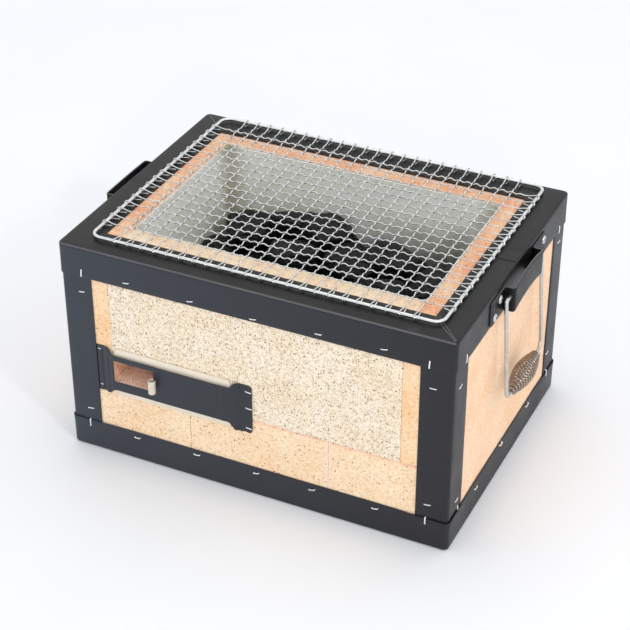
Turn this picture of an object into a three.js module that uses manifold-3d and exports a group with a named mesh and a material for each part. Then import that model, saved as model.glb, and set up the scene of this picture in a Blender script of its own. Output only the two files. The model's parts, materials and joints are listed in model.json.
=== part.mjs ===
// A tabletop charcoal grill: a diatomite clay firebox bound with stapled sheet steel, with a sliding
// air door, two wire bails with coiled grips, and a loose wire net on top.
// Millimetres. +Z is up, the air door faces -Y, and the origin is the centre of the footprint on the table.
import * as THREE from "three";
import { ConvexGeometry } from "three/addons/geometries/ConvexGeometry.js";
import { mergeVertices } from "three/addons/utils/BufferGeometryUtils.js";
import Module from "manifold-3d";

const wasm = await Module();
wasm.setup();

// ---------------------------------------------------------------- driving dimensions
const WIDTH = 310;
const DEPTH = 230;
const HEIGHT = 178.5;
const GAP = 0.3;
const CORNER_RADIUS = 4;
const ARC_STEPS = 4;

// Sheet steel: two bands round the clay, over four corner angles.
const SHEET = 0.6;
const BAND_HEIGHT = 25;
const FLANGE = 26;
const ANGLE_LEG = 26;

// Clay walls, a lower course of bricks and the hearth slab.
const LAYER = SHEET + GAP;
const CLAY_INSET = 2 * LAYER;
const CLAY_FRONT = DEPTH / 2 - CLAY_INSET;
const CLAY_SIDE = WIDTH / 2 - CLAY_INSET;
const COURSE_TOP = 67;
const BRICK_THICKNESS = 22;
const BRICK_JOINT = 0.6;
const BRICK_JOINTS = [-52, 60.5];
const BRICK_PLACES = ["left", "middle", "right"];
const CAVITY_HALF = { x: 116, y: 74 };
const CLAY_TOP = HEIGHT - LAYER;

// Firebox: a tapered grey lining above a slotted grate on two ledges.
const GRATE_TOP = 96;
const GRATE_THICKNESS = 4;
const LINING_TOP_THICKNESS = 0.8;
const LINING_TAPER = 5.2;
const LEDGE_WIDTH = 14;
const GRATE_SLOTS = { columns: 14, rows: 2, width: 6, length: 56, pitch: 14.5, rowPitch: 64 };

// Charcoal: a layer in columns and rows on the grate, and a heap on that.
const COAL = { columns: 4, rows: 2, pitchX: 53, pitchY: 65, low: 24 };
const HEAP = [
  { x: -38, y: 38, width: 66, depth: 50, height: 20 },
  { x: 34, y: 32, width: 60, depth: 56, height: 14 },
  { x: -14, y: -30, width: 70, depth: 48, height: 15 },
];

// Air door: backing plate, slider and the raised guide strip, on the clay at the left of the front.
const PORT = { left: -CAVITY_HALF.x + GAP, right: -80, low: COURSE_TOP, high: 90 };
const PLATE = { left: -117.5, right: -13, low: 57, high: 97, thickness: 0.5 };
const PLATE_HOLE = { left: -114.3, right: -80.5, low: 68, high: 87.5 };
const STRIP = { left: -127.5, right: 0.3, neckLow: 61, neckHigh: 91.2, tabLow: 55.5, tabHigh: 97.6 };
const STRIP_WINDOW = { left: -114, right: -80.3, low: 68.5, high: 87.1 };
const SLIDER = { left: -79.8, right: -28, low: 62, high: 90.4 };
const RIB_HEIGHT = 0.8;
const TAB_ROLL = { radius: 3.6, low: 69.3, high: 84, sweep: 280 };

// Staples: crown, leg and wire.
const STAPLE = { crown: 4.4, leg: 7, wire: 0.7, height: 1 };

// Handles: a folded bracket on each end, a wire bail that hangs in it, and a barrel-shaped coil grip.
// HANDLE_Y is how far the middle of a handle lies behind the middle of the right side.
const HANDLE_Y = 2;
const BRACKET = { sheet: 1.2, half: 29.9, flangeEnd: 55.6, reach: 9.2, low: 155.2, high: 175.5 };
const PIVOT = { x: WIDTH / 2 + 5.2, z: 167.5, hole: 2.1 };
const BAIL = { wire: 3, half: 37.1, end: 27.2, corner: 7.5, hook: 3 };
const GRIP_AXIS = { x: WIDTH / 2 + 10.3, z: 86 };
const GRIP = { wire: 1.5, half: 27.5, turns: 17, endRadius: 3, midRadius: 7.6 };
const RIVET = { shank: 1.6, head: 3.2, height: 1.5, hole: 1.9 };
const RIVET_SPOTS = [
  { y: -39.3, z: 169.5 },
  { y: -48.7, z: 159.9 },
  { y: 39.3, z: 159.9 },
  { y: 51.5, z: 169.3 },
];

// Net: a rim of thick wire and a square mesh of thin wires.
const NET = { width: 276, depth: 211, x: 1, y: 5.6, radius: 9, rim: 2.8, wire: 1.4 };
const NET_MESH = { pitch: 10.6, margin: 20 };

// The rolled tab is the front of the object and the bands are its back, so the body sits a little back.
const ROLL_Y = -(CLAY_FRONT + GAP + PLATE.thickness + GAP + SHEET / 2 + TAB_ROLL.radius);
const FRONT_REACH = -ROLL_Y + TAB_ROLL.radius + SHEET / 2;
const BODY_Y = (FRONT_REACH - DEPTH / 2) / 2;

// ---------------------------------------------------------------- materials
function material(color, roughness, metalness) {
  return new THREE.MeshStandardMaterial({ color, roughness, metalness });
}
const BLACK_STEEL = material(0x3c3d41, 0.55, 0.35);
const BRACKET_STEEL = material(0x2b2c2f, 0.45, 0.4);
const PALE_STEEL = material(0xdcdad2, 0.45, 0.5);
const BRIGHT_WIRE = material(0xc9cbcc, 0.25, 1);
const FRONT_CLAY = material(0xf2e2c6, 0.95, 0);
const SIDE_CLAY = material(0xf6cfa8, 0.95, 0);
const LINING_CLAY = material(0xa9aa98, 0.95, 0);
const CAST_IRON = material(0x2a2a2b, 0.8, 0.6);
const CHARCOAL = material(0x141414, 0.9, 0);

// ---------------------------------------------------------------- shapes and booleans
function solidOf(geometry) {
  const bare = geometry.clone();
  bare.deleteAttribute("normal");
  bare.deleteAttribute("uv");
  const merged = mergeVertices(bare, 1e-4);
  const vertProperties = merged.attributes.position.array;
  const triVerts = new Uint32Array(merged.index.array);
  return new wasm.Manifold(new wasm.Mesh({ numProp: 3, vertProperties, triVerts }));
}

function geometryOf(solid) {
  const mesh = solid.getMesh();
  const geometry = new THREE.BufferGeometry();
  geometry.setAttribute("position", new THREE.BufferAttribute(mesh.vertProperties, 3));
  geometry.setIndex(new THREE.BufferAttribute(mesh.triVerts, 1));
  const faceted = geometry.toNonIndexed();
  faceted.computeVertexNormals();
  return faceted;
}

function join(first, ...others) {
  return geometryOf(others.reduce((sum, other) => sum.add(solidOf(other)), solidOf(first)));
}

function cut(first, ...others) {
  return geometryOf(others.reduce((rest, other) => rest.subtract(solidOf(other)), solidOf(first)));
}

function common(first, second) {
  return geometryOf(solidOf(first).intersect(solidOf(second)));
}

// A box between two limits on each axis.
function block([x0, x1], [y0, y1], [z0, z1]) {
  const geometry = new THREE.BoxGeometry(x1 - x0, y1 - y0, z1 - z0);
  return geometry.translate((x0 + x1) / 2, (y0 + y1) / 2, (z0 + z1) / 2);
}

function outline(points) {
  return new THREE.Shape(points.map(([x, y]) => new THREE.Vector2(x, y)));
}

// A plan outline, extruded up from z0 to z1.
function prismUp(shape, z0, z1) {
  const settings = { depth: z1 - z0, bevelEnabled: false, curveSegments: ARC_STEPS };
  return new THREE.ExtrudeGeometry(shape, settings).translate(0, 0, z0);
}

// An outline in X and Z, extruded along Y from y0 to y1.
function prismBack(shape, y0, y1) {
  return prismUp(shape, 0, y1 - y0).rotateX(Math.PI / 2).translate(0, y1, 0);
}

// An outline in Y and Z, extruded along X from x0 to x1.
function prismAcross(shape, x0, x1) {
  return prismUp(shape, 0, x1 - x0).rotateX(Math.PI / 2).rotateZ(Math.PI / 2).translate(x0, 0, 0);
}

function roundedRectangle(halfX, halfY, radius, centre = { x: 0, y: 0 }, Kind = THREE.Shape) {
  const shape = new Kind();
  const quarter = Math.PI / 2;
  [[1, 1], [-1, 1], [-1, -1], [1, -1]].forEach(([sx, sy], i) => {
    const x = centre.x + sx * (halfX - radius);
    const y = centre.y + sy * (halfY - radius);
    shape.absarc(x, y, radius, i * quarter, (i + 1) * quarter);
  });
  shape.closePath();
  return shape;
}

// The plan of the body, drawn in by some distance all round.
function bodyPlan(inset, Kind) {
  const radius = CORNER_RADIUS - inset;
  return roundedRectangle(WIDTH / 2 - inset, DEPTH / 2 - inset, radius, undefined, Kind);
}

function bodyRing(inset) {
  const ring = bodyPlan(inset);
  ring.holes.push(bodyPlan(inset + SHEET, THREE.Path));
  return ring;
}

function mesh(name, geometry, finish) {
  const made = new THREE.Mesh(geometry, finish);
  made.name = name;
  return made;
}

// ---------------------------------------------------------------- sheet steel
// What is on the right end, or on the front, is on the opposite side too, half a turn round.
const ENDS = { right: 0, left: Math.PI };
const FACES = { front: 0, back: Math.PI };

// A bore along X through the flanges of a bracket and the skirt behind it.
function rivetBore({ y, z }) {
  const bore = new THREE.CylinderGeometry(RIVET.hole, RIVET.hole, 10, 12).rotateZ(Math.PI / 2);
  return bore.translate(WIDTH / 2, y, z);
}

// Carries a piece of a handle from the middle of the right side to its place on an end.
function onEnd(geometry, turn) {
  return geometry.translate(0, HANDLE_Y, 0).rotateZ(turn);
}

function allRivetBores() {
  return Object.values(ENDS).flatMap((turn) =>
    RIVET_SPOTS.map((spot) => onEnd(rivetBore(spot), turn)),
  );
}

// A skirt round the body with a flange turned in at flangeZ.
function band(z0, flangeZ) {
  const skirt = prismUp(bodyRing(0), z0, z0 + BAND_HEIGHT);
  const flange = bodyPlan(0);
  flange.holes.push(
    roundedRectangle(WIDTH / 2 - FLANGE, DEPTH / 2 - FLANGE, 1, undefined, THREE.Path),
  );
  return join(skirt, prismUp(flange, flangeZ, flangeZ + SHEET));
}

// The angle at the front right corner, or at the back right one where sign is 1.
function cornerAngle(sign) {
  const ring = prismUp(bodyRing(LAYER), LAYER, HEIGHT - LAYER);
  const spanY = sign < 0 ? [-DEPTH, ANGLE_LEG - DEPTH / 2] : [DEPTH / 2 - ANGLE_LEG, DEPTH];
  return common(ring, block([WIDTH / 2 - ANGLE_LEG, WIDTH], spanY, [0, HEIGHT]));
}

function steelParts() {
  const top = cut(band(HEIGHT - BAND_HEIGHT, HEIGHT - SHEET), ...allRivetBores());
  return [
    mesh("top_band", top, BLACK_STEEL),
    mesh("bottom_band", band(0, 0), BLACK_STEEL),
    mesh("corner_angle_front_right", cornerAngle(-1), BLACK_STEEL),
    mesh("corner_angle_back_right", cornerAngle(1), BLACK_STEEL),
    mesh("corner_angle_back_left", cornerAngle(-1).rotateZ(Math.PI), BLACK_STEEL),
    mesh("corner_angle_front_left", cornerAngle(1).rotateZ(Math.PI), BLACK_STEEL),
  ];
}

// ---------------------------------------------------------------- clay
// A clay block, with its outer corners rounded to the plan of the body.
function clayBlock(spanX, spanY, spanZ) {
  const whole = prismUp(bodyPlan(CLAY_INSET), LAYER, CLAY_TOP);
  return common(block(spanX, spanY, spanZ), whole);
}

// The right end wall: between the lower courses at its foot, and over them above.
function endWall() {
  const spanX = [CAVITY_HALF.x, CLAY_SIDE];
  const footY = CLAY_FRONT - BRICK_THICKNESS - GAP;
  const foot = clayBlock(spanX, [-footY, footY], [LAYER, CLAY_TOP]);
  return join(foot, clayBlock(spanX, [-CLAY_FRONT, CLAY_FRONT], [COURSE_TOP, CLAY_TOP]));
}

// The front wall, between the end walls and on the lower course.
function longWall() {
  const halfX = CAVITY_HALF.x - GAP;
  return clayBlock([-halfX, halfX], [-CLAY_FRONT, -CAVITY_HALF.y], [COURSE_TOP, CLAY_TOP]);
}

// The air port, a notch in the lower left corner of the front wall.
function portCutter() {
  const spanX = [PORT.left - 1, PORT.right];
  return block(spanX, [-DEPTH, -CAVITY_HALF.y + 1], [PORT.low - 1, PORT.high]);
}

// The three bricks of the front lower course, from left to right.
function courseBricks() {
  const limits = [-CLAY_SIDE, ...BRICK_JOINTS, CLAY_SIDE];
  const spanY = [-CLAY_FRONT, BRICK_THICKNESS - CLAY_FRONT];
  return BRICK_PLACES.map((place, i) => {
    const left = limits[i] + (i > 0 ? BRICK_JOINT / 2 : 0);
    const right = limits[i + 1] - (i < 2 ? BRICK_JOINT / 2 : 0);
    return clayBlock([left, right], spanY, [LAYER, COURSE_TOP - GAP]);
  });
}

function clayParts() {
  const bores = stapleBores();
  const halfX = CAVITY_HALF.x - GAP;
  const halfY = CLAY_FRONT - BRICK_THICKNESS - GAP;
  const parts = [
    mesh("front_wall", cut(longWall(), portCutter(), ...bores), FRONT_CLAY),
    mesh("back_wall", longWall().rotateZ(Math.PI), FRONT_CLAY),
    mesh("hearth_slab", block([-halfX, halfX], [-halfY, halfY], [LAYER, COURSE_TOP - GAP]), SIDE_CLAY),
  ];
  Object.entries(ENDS).forEach(([side, turn]) => {
    const wall = endWall().rotateZ(turn);
    parts.push(mesh(`end_wall_${side}`, side === "left" ? cut(wall, ...bores) : wall, SIDE_CLAY));
  });
  Object.entries(FACES).forEach(([face, turn]) => {
    courseBricks().forEach((brick, i) => {
      const placed = face === "front" ? cut(brick, ...bores) : brick.rotateZ(turn);
      parts.push(mesh(`${face}_brick_${BRICK_PLACES[i]}`, placed, FRONT_CLAY));
    });
  });
  return parts;
}

// ---------------------------------------------------------------- firebox
// One lining panel: flat on the wall behind it, sloping in towards the grate, mitred at its ends.
// across is the wall's distance from the middle, and along is half the wall's length.
function liningPanel(across, along) {
  const bottom = GRATE_TOP - GRATE_THICKNESS + GAP;
  const top = CLAY_TOP - GAP;
  const thick = { [bottom]: LINING_TOP_THICKNESS + LINING_TAPER, [top]: LINING_TOP_THICKNESS };
  const corners = [];
  [bottom, top].forEach((z) => {
    [0, thick[z]].forEach((inset) => {
      [-1, 1].forEach((sign) => {
        corners.push(new THREE.Vector3(across - inset, sign * (along - inset - GAP), z));
      });
    });
  });
  return new ConvexGeometry(corners);
}

function liningParts() {
  const outerX = CAVITY_HALF.x - GAP;
  const outerY = CAVITY_HALF.y - GAP;
  const places = { right: 0, back: 1, left: 2, front: 3 };
  return Object.entries(places).map(([place, quarters]) => {
    const panel = quarters % 2 ? liningPanel(outerY, outerX) : liningPanel(outerX, outerY);
    return mesh(`lining_${place}`, panel.rotateZ((quarters * Math.PI) / 2), LINING_CLAY);
  });
}

function ledge() {
  const outer = CAVITY_HALF.x - GAP;
  const spanZ = [COURSE_TOP, GRATE_TOP - GRATE_THICKNESS - GAP];
  const halfY = CAVITY_HALF.y - GAP;
  return block([outer - LEDGE_WIDTH, outer], [-halfY, halfY], spanZ);
}

// The slotted grate, which lies on the two ledges inside the foot of the lining.
function grate() {
  const inset = GAP + LINING_TOP_THICKNESS + LINING_TAPER + GAP;
  const plate = roundedRectangle(CAVITY_HALF.x - inset, CAVITY_HALF.y - inset, 4);
  const { columns, rows, width, length, pitch, rowPitch } = GRATE_SLOTS;
  const slots = [];
  for (let column = 0; column < columns; column += 1) {
    for (let row = 0; row < rows; row += 1) {
      const x = (column - (columns - 1) / 2) * pitch;
      const y = (row - (rows - 1) / 2) * rowPitch;
      const spanY = [y - length / 2, y + length / 2];
      slots.push(block([x - width / 2, x + width / 2], spanY, [0, HEIGHT]));
    }
  }
  return cut(prismUp(plate, GRATE_TOP - GRATE_THICKNESS, GRATE_TOP), ...slots);
}

// A broken lump of charcoal: a squared-off ball with facets, its surface pushed about by a wave,
// turned a little and then fitted to its own box, which stands on z.
function lump({ x, y, z }, { width, depth, height }, turn, seed) {
  const ball = new THREE.IcosahedronGeometry(1, 2).getAttribute("position");
  const points = [];
  for (let i = 0; i < ball.count; i += 1) {
    const p = new THREE.Vector3().fromBufferAttribute(ball, i);
    const squared = 1 / (p.x ** 6 + p.y ** 6 + p.z ** 6) ** (1 / 6);
    const wave = 1 + 0.09 * Math.sin(5 * p.x + seed) * Math.cos(4 * p.y - 2 * seed + p.z);
    points.push(p.multiplyScalar(squared * wave));
  }
  const hull = new ConvexGeometry(points).rotateZ(turn);
  hull.computeBoundingBox();
  const size = hull.boundingBox.getSize(new THREE.Vector3());
  hull.center().scale(width / size.x, depth / size.y, height / size.z);
  return hull.translate(x, y, z + height / 2);
}

// Two rows of lumps that cover the grate, and three more heaped on them.
function charcoalParts() {
  const geometries = [];
  for (let i = 0; i < COAL.columns * COAL.rows; i += 1) {
    const column = i % COAL.columns;
    const row = (i - column) / COAL.columns;
    const x = (column - (COAL.columns - 1) / 2) * COAL.pitchX;
    const y = (row - (COAL.rows - 1) / 2) * COAL.pitchY;
    const size = { width: COAL.pitchX - 2, depth: COAL.pitchY - 2, height: COAL.low };
    geometries.push(lump({ x, y, z: GRATE_TOP + GAP }, size, 0.1 * Math.sin(7 * i), i + 1));
  }
  HEAP.forEach(({ x, y, width, depth, height }, i) => {
    const z = GRATE_TOP + 2 * GAP + COAL.low;
    geometries.push(lump({ x, y, z }, { width, depth, height }, 0.3 - 0.25 * i, i + 20));
  });
  return geometries.map((geometry, i) => mesh(`charcoal_${i + 1}`, geometry, CHARCOAL));
}

function fireboxParts() {
  return [
    ...liningParts(),
    mesh("grate_ledge_right", ledge(), SIDE_CLAY),
    mesh("grate_ledge_left", ledge().rotateZ(Math.PI), SIDE_CLAY),
    mesh("grate", grate(), CAST_IRON),
    ...charcoalParts(),
  ];
}

// ---------------------------------------------------------------- air door
const CLAY_FACE_Y = -CLAY_FRONT;
const PLATE_Y = CLAY_FACE_Y - GAP;
const SLIDER_Y = PLATE_Y - PLATE.thickness - GAP;
const NECK_Y = SLIDER_Y - SHEET - GAP;

// The pale plate on the clay, with its hole over the port and a rib above and below the slider.
function backingPlate() {
  const back = PLATE_Y;
  const front = back - PLATE.thickness;
  const sheet = block([PLATE.left, PLATE.right], [front, back], [PLATE.low, PLATE.high]);
  const rib = (z) => block([-110, -26], [SLIDER_Y - SHEET, front + 0.1], [z, z + RIB_HEIGHT]);
  const ribs = [rib(SLIDER.low - GAP - RIB_HEIGHT), rib(SLIDER.high + GAP)];
  const { left, right, low, high } = PLATE_HOLE;
  const hole = block([left, right], [front - 1, back + 1], [low, high]);
  return cut(join(sheet, ...ribs), hole);
}

// The guide strip in plan: flat tabs on the clay at its ends, and a raised run between them.
function stripPlan() {
  const front = [
    [STRIP.left, PLATE_Y - SHEET],
    [STRIP.left + 7, PLATE_Y - SHEET],
    [STRIP.left + 9.2, NECK_Y + 0.2],
    [STRIP.left + 12.5, NECK_Y - SHEET],
    [STRIP.right - 24, NECK_Y - SHEET],
    [STRIP.right - 12.6, NECK_Y + 0.2],
    [STRIP.right - 10, PLATE_Y - SHEET],
    [STRIP.right, PLATE_Y - SHEET],
  ];
  const back = front.map(([x, y]) => [x, y + SHEET]).reverse();
  return outline([...front, ...back]);
}

// The guide strip seen from the front: tall tabs, with sloping shoulders down to a narrow neck.
function stripOutline() {
  const { left, right, neckLow, neckHigh, tabLow, tabHigh } = STRIP;
  const round = 3;
  const shape = outline([
    [left, tabLow + 2.5],
    [left + 6, tabLow + 1],
    [left + 9.5, tabLow + 2],
    [left + 13.5, neckLow],
    [right - 18.8, neckLow],
    [right - 14, tabLow + 1],
    [right - 10.5, tabLow],
  ]);
  shape.absarc(right - round, tabLow + round, round, -Math.PI / 2, 0);
  shape.absarc(right - round, tabHigh - round, round, 0, Math.PI / 2);
  shape.lineTo(right - 12, tabHigh);
  shape.lineTo(right - 18, neckHigh);
  shape.lineTo(left + 13.8, neckHigh);
  shape.lineTo(left + 8.4, tabHigh + 0.5);
  shape.lineTo(left, tabHigh + 0.5);
  return shape;
}

function guideStrip() {
  const sheet = prismUp(stripPlan(), STRIP.tabLow - 1, STRIP.tabHigh + 1);
  const face = prismBack(stripOutline(), NECK_Y - 2, CLAY_FACE_Y);
  const { left, right, low, high } = STRIP_WINDOW;
  const opening = block([left, right], [NECK_Y - 2, CLAY_FACE_Y], [low, high]);
  return cut(common(sheet, face), opening, ...stapleBores());
}

// The slider: a flat sheet whose left edge is rolled outwards as a finger tab.
function slider() {
  const sheetY = SLIDER_Y - SHEET;
  const sheet = block([SLIDER.left, SLIDER.right], [sheetY, SLIDER_Y], [SLIDER.low, SLIDER.high]);
  const start = Math.PI / 2;
  const end = start + THREE.MathUtils.degToRad(TAB_ROLL.sweep);
  const centreX = SLIDER.left + SHEET / 2;
  const roll = new THREE.Shape();
  roll.absarc(centreX, ROLL_Y, TAB_ROLL.radius + SHEET / 2, start, end);
  roll.absarc(centreX, ROLL_Y, TAB_ROLL.radius - SHEET / 2, end, start, true);
  const settings = { depth: TAB_ROLL.high - TAB_ROLL.low, bevelEnabled: false, curveSegments: 18 };
  const tab = new THREE.ExtrudeGeometry(roll, settings).translate(0, 0, TAB_ROLL.low);
  return join(sheet, tab);
}

// The middles of the staples through the strip's tabs.
const STAPLE_SPOTS = [
  { x: STRIP.left + 3.4, z: 94 },
  { x: STRIP.left + 3.4, z: 62 },
  { x: STRIP.right - 3.6, z: 94 },
  { x: STRIP.right - 3.6, z: 79.5 },
  { x: STRIP.right - 3.6, z: 62 },
];

// A staple in plan: the crown lies just off the tab, and both legs run back into the clay.
function staple({ x, z }) {
  const half = STAPLE.crown / 2;
  const back = PLATE_Y - SHEET - GAP;
  const front = back - STAPLE.wire;
  const tip = back + STAPLE.leg;
  const shape = outline([
    [x - half, front],
    [x + half, front],
    [x + half, tip],
    [x + half - STAPLE.wire, tip],
    [x + half - STAPLE.wire, back],
    [x - half + STAPLE.wire, back],
    [x - half + STAPLE.wire, tip],
    [x - half, tip],
  ]);
  return prismUp(shape, z - STAPLE.height / 2, z + STAPLE.height / 2);
}

// Clearance holes for the legs of every staple.
function stapleBores() {
  const clear = GAP / 2;
  const inner = STAPLE.crown / 2 - STAPLE.wire - clear;
  const outer = STAPLE.crown / 2 + clear;
  const spanY = [PLATE_Y - 2 * SHEET, PLATE_Y - SHEET + STAPLE.leg];
  return STAPLE_SPOTS.flatMap(({ x, z }) => {
    const spanZ = [z - STAPLE.height / 2 - clear, z + STAPLE.height / 2 + clear];
    return [
      block([x - outer, x - inner], spanY, spanZ),
      block([x + inner, x + outer], spanY, spanZ),
    ];
  });
}

function airDoorParts() {
  return [
    mesh("air_door_plate", backingPlate(), PALE_STEEL),
    mesh("air_door_strip", guideStrip(), BLACK_STEEL),
    mesh("air_door_slider", slider(), PALE_STEEL),
    ...STAPLE_SPOTS.map((spot, i) => mesh(`strip_staple_${i + 1}`, staple(spot), BRIGHT_WIRE)),
  ];
}

// ---------------------------------------------------------------- handles
// The bracket in plan: flanges on the skirt, and a strap standing off it between two end walls.
function bracketPlan() {
  const { sheet, half, flangeEnd, reach } = BRACKET;
  const inner = WIDTH / 2 + GAP;
  const outer = inner + sheet;
  const strap = WIDTH / 2 + reach;
  return outline([
    [inner, -flangeEnd],
    [outer, -flangeEnd],
    [outer, -half],
    [strap, -half],
    [strap, half],
    [outer, half],
    [outer, flangeEnd],
    [inner, flangeEnd],
    [inner, half - sheet],
    [strap - sheet, half - sheet],
    [strap - sheet, sheet - half],
    [inner, sheet - half],
  ]);
}

function bracket() {
  const wireHole = new THREE.CylinderGeometry(PIVOT.hole, PIVOT.hole, 3 * BRACKET.half, 12);
  const bores = RIVET_SPOTS.map(rivetBore);
  const folded = prismUp(bracketPlan(), BRACKET.low, BRACKET.high);
  return cut(folded, wireHole.translate(PIVOT.x, 0, PIVOT.z), ...bores);
}

// A domed rivet whose shank goes through the flange and the skirt.
function rivet({ y, z }) {
  const seat = WIDTH / 2 + GAP + BRACKET.sheet + GAP;
  const tail = WIDTH / 2 - SHEET - GAP;
  const profile = [
    [0, tail],
    [RIVET.shank, tail],
    [RIVET.shank, seat],
    [RIVET.head, seat],
    [RIVET.head * 0.8, seat + RIVET.height * 0.7],
    [0, seat + RIVET.height],
  ];
  const points = profile.map(([radius, height]) => new THREE.Vector2(radius, height));
  return new THREE.LatheGeometry(points, 10).rotateZ(-Math.PI / 2).translate(0, y, z);
}

// A point on the bail: y along the pivot, and down its leaning legs by a share of their length.
function bailPoint(y, down) {
  const x = THREE.MathUtils.lerp(PIVOT.x, GRIP_AXIS.x, down);
  return new THREE.Vector3(x, y, THREE.MathUtils.lerp(PIVOT.z, GRIP_AXIS.z, down));
}

// Straight runs between corner points, with each corner rounded.
function roundedRoute(points, radii) {
  const route = new THREE.CurvePath();
  let from = points[0];
  points.slice(1, -1).forEach((corner, i) => {
    const before = points[i].clone().sub(corner).setLength(radii[i]).add(corner);
    const after = points[i + 2].clone().sub(corner).setLength(radii[i]).add(corner);
    route.add(new THREE.LineCurve3(from, before));
    route.add(new THREE.QuadraticBezierCurve3(before, corner, after));
    from = after;
  });
  route.add(new THREE.LineCurve3(from, points[points.length - 1]));
  return route;
}

function wireAlong(path, diameter, steps, sides) {
  const section = new THREE.Shape();
  for (let i = 0; i < sides; i += 1) {
    const angle = (2 * Math.PI * i) / sides;
    const x = (diameter / 2) * Math.cos(angle);
    const y = (diameter / 2) * Math.sin(angle);
    if (i === 0) section.moveTo(x, y);
    else section.lineTo(x, y);
  }
  return new THREE.ExtrudeGeometry(section, { steps, extrudePath: path, bevelEnabled: false });
}

function bail() {
  const { half, end, corner, hook, wire } = BAIL;
  const points = [
    bailPoint(-end, 0),
    bailPoint(-half, 0),
    bailPoint(-half, 1),
    bailPoint(half, 1),
    bailPoint(half, 0),
    bailPoint(end, 0),
  ];
  return wireAlong(roundedRoute(points, [hook, corner, corner, hook]), wire, 84, 6);
}

// The centreline of the grip: a helix that is widest at its middle.
class BarrelHelix extends THREE.Curve {
  getPoint(t) {
    const angle = 2 * Math.PI * GRIP.turns * t;
    const radius = GRIP.endRadius + (GRIP.midRadius - GRIP.endRadius) * Math.sin(Math.PI * t) ** 0.8;
    const y = GRIP.half * (2 * t - 1);
    const x = GRIP_AXIS.x + radius * Math.cos(angle);
    return new THREE.Vector3(x, y, GRIP_AXIS.z + radius * Math.sin(angle));
  }
}

function handleParts() {
  return Object.entries(ENDS).flatMap(([side, turn]) => [
    mesh(`bracket_${side}`, onEnd(bracket(), turn), BRACKET_STEEL),
    ...RIVET_SPOTS.map((spot, i) =>
      mesh(`rivet_${side}_${i + 1}`, onEnd(rivet(spot), turn), BRIGHT_WIRE),
    ),
    mesh(`bail_${side}`, onEnd(bail(), turn), BRIGHT_WIRE),
    mesh(
      `grip_${side}`,
      onEnd(wireAlong(new BarrelHelix(), GRIP.wire, GRIP.turns * 9, 5), turn),
      BRIGHT_WIRE,
    ),
  ]);
}

// ---------------------------------------------------------------- net
// A rectangular rim, some wires deep, with its outside the size of the net.
function netRim(z0, z1) {
  const centre = { x: NET.x, y: NET.y };
  const rim = roundedRectangle(NET.width / 2, NET.depth / 2, NET.radius, centre);
  rim.holes.push(
    roundedRectangle(
      NET.width / 2 - NET.rim,
      NET.depth / 2 - NET.rim,
      NET.radius - NET.rim,
      centre,
      THREE.Path,
    ),
  );
  return prismUp(rim, z0, z1);
}

// The places of parallel wires across a span, a pitch apart and even about its middle.
function wirePlaces(span) {
  const { pitch, margin } = NET_MESH;
  const count = 1 + Math.floor((span - 2 * margin) / pitch);
  return Array.from({ length: count }, (_, i) => (i - (count - 1) / 2) * pitch);
}

function netParts() {
  const low = HEIGHT + GAP;
  const wireLow = low + (NET.rim - NET.wire) / 2;
  const weftLow = low + NET.rim + GAP;
  const halfX = NET.width / 2 - NET.rim / 2;
  const halfY = NET.depth / 2 - NET.rim / 2;
  const halfWire = NET.wire / 2;
  const warp = wirePlaces(NET.width).map((place) => {
    const spanX = [NET.x + place - halfWire, NET.x + place + halfWire];
    return block(spanX, [NET.y - halfY, NET.y + halfY], [wireLow, wireLow + NET.wire]);
  });
  const weft = wirePlaces(NET.depth).map((place) => {
    const spanY = [NET.y + place - halfWire, NET.y + place + halfWire];
    return block([NET.x - halfX, NET.x + halfX], spanY, [weftLow, weftLow + NET.wire]);
  });
  return [
    mesh("net_warp", join(netRim(low, low + NET.rim), ...warp), BRIGHT_WIRE),
    mesh("net_weft", join(netRim(weftLow, weftLow + NET.wire), ...weft), BRIGHT_WIRE),
  ];
}

// ---------------------------------------------------------------- assembly
const group = new THREE.Group();
group.add(
  ...steelParts(),
  ...clayParts(),
  ...fireboxParts(),
  ...airDoorParts(),
  ...handleParts(),
  ...netParts(),
);
group.position.y = BODY_Y;

export default group;
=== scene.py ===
import json
import random
from math import ceil, cos, dist, exp, pi, radians, sin, sqrt

import bmesh
import bpy
import numpy as np
from mathutils import Matrix, Vector, noise

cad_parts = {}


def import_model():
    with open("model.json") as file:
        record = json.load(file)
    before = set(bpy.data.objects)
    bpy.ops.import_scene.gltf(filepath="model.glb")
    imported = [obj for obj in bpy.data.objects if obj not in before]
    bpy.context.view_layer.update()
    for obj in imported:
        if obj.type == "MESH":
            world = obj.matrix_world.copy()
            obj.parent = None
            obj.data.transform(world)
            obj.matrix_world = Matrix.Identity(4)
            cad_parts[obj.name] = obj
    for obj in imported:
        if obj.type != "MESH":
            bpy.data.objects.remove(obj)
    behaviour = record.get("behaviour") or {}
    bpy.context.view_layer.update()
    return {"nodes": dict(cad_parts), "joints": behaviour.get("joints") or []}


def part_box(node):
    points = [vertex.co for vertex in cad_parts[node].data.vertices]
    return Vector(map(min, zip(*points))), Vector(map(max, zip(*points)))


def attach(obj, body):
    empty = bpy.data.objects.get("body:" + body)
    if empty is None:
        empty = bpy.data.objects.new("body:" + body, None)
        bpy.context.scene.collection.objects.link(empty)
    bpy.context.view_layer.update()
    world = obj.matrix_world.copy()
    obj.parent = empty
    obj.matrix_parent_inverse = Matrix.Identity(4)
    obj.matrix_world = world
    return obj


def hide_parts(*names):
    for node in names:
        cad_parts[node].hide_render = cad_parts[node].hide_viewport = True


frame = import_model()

MM = 0.001

# ---- sizes from the frame
_low, _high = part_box("top_band")
BODY_Y = (_low.y + _high.y) / 2


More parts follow.
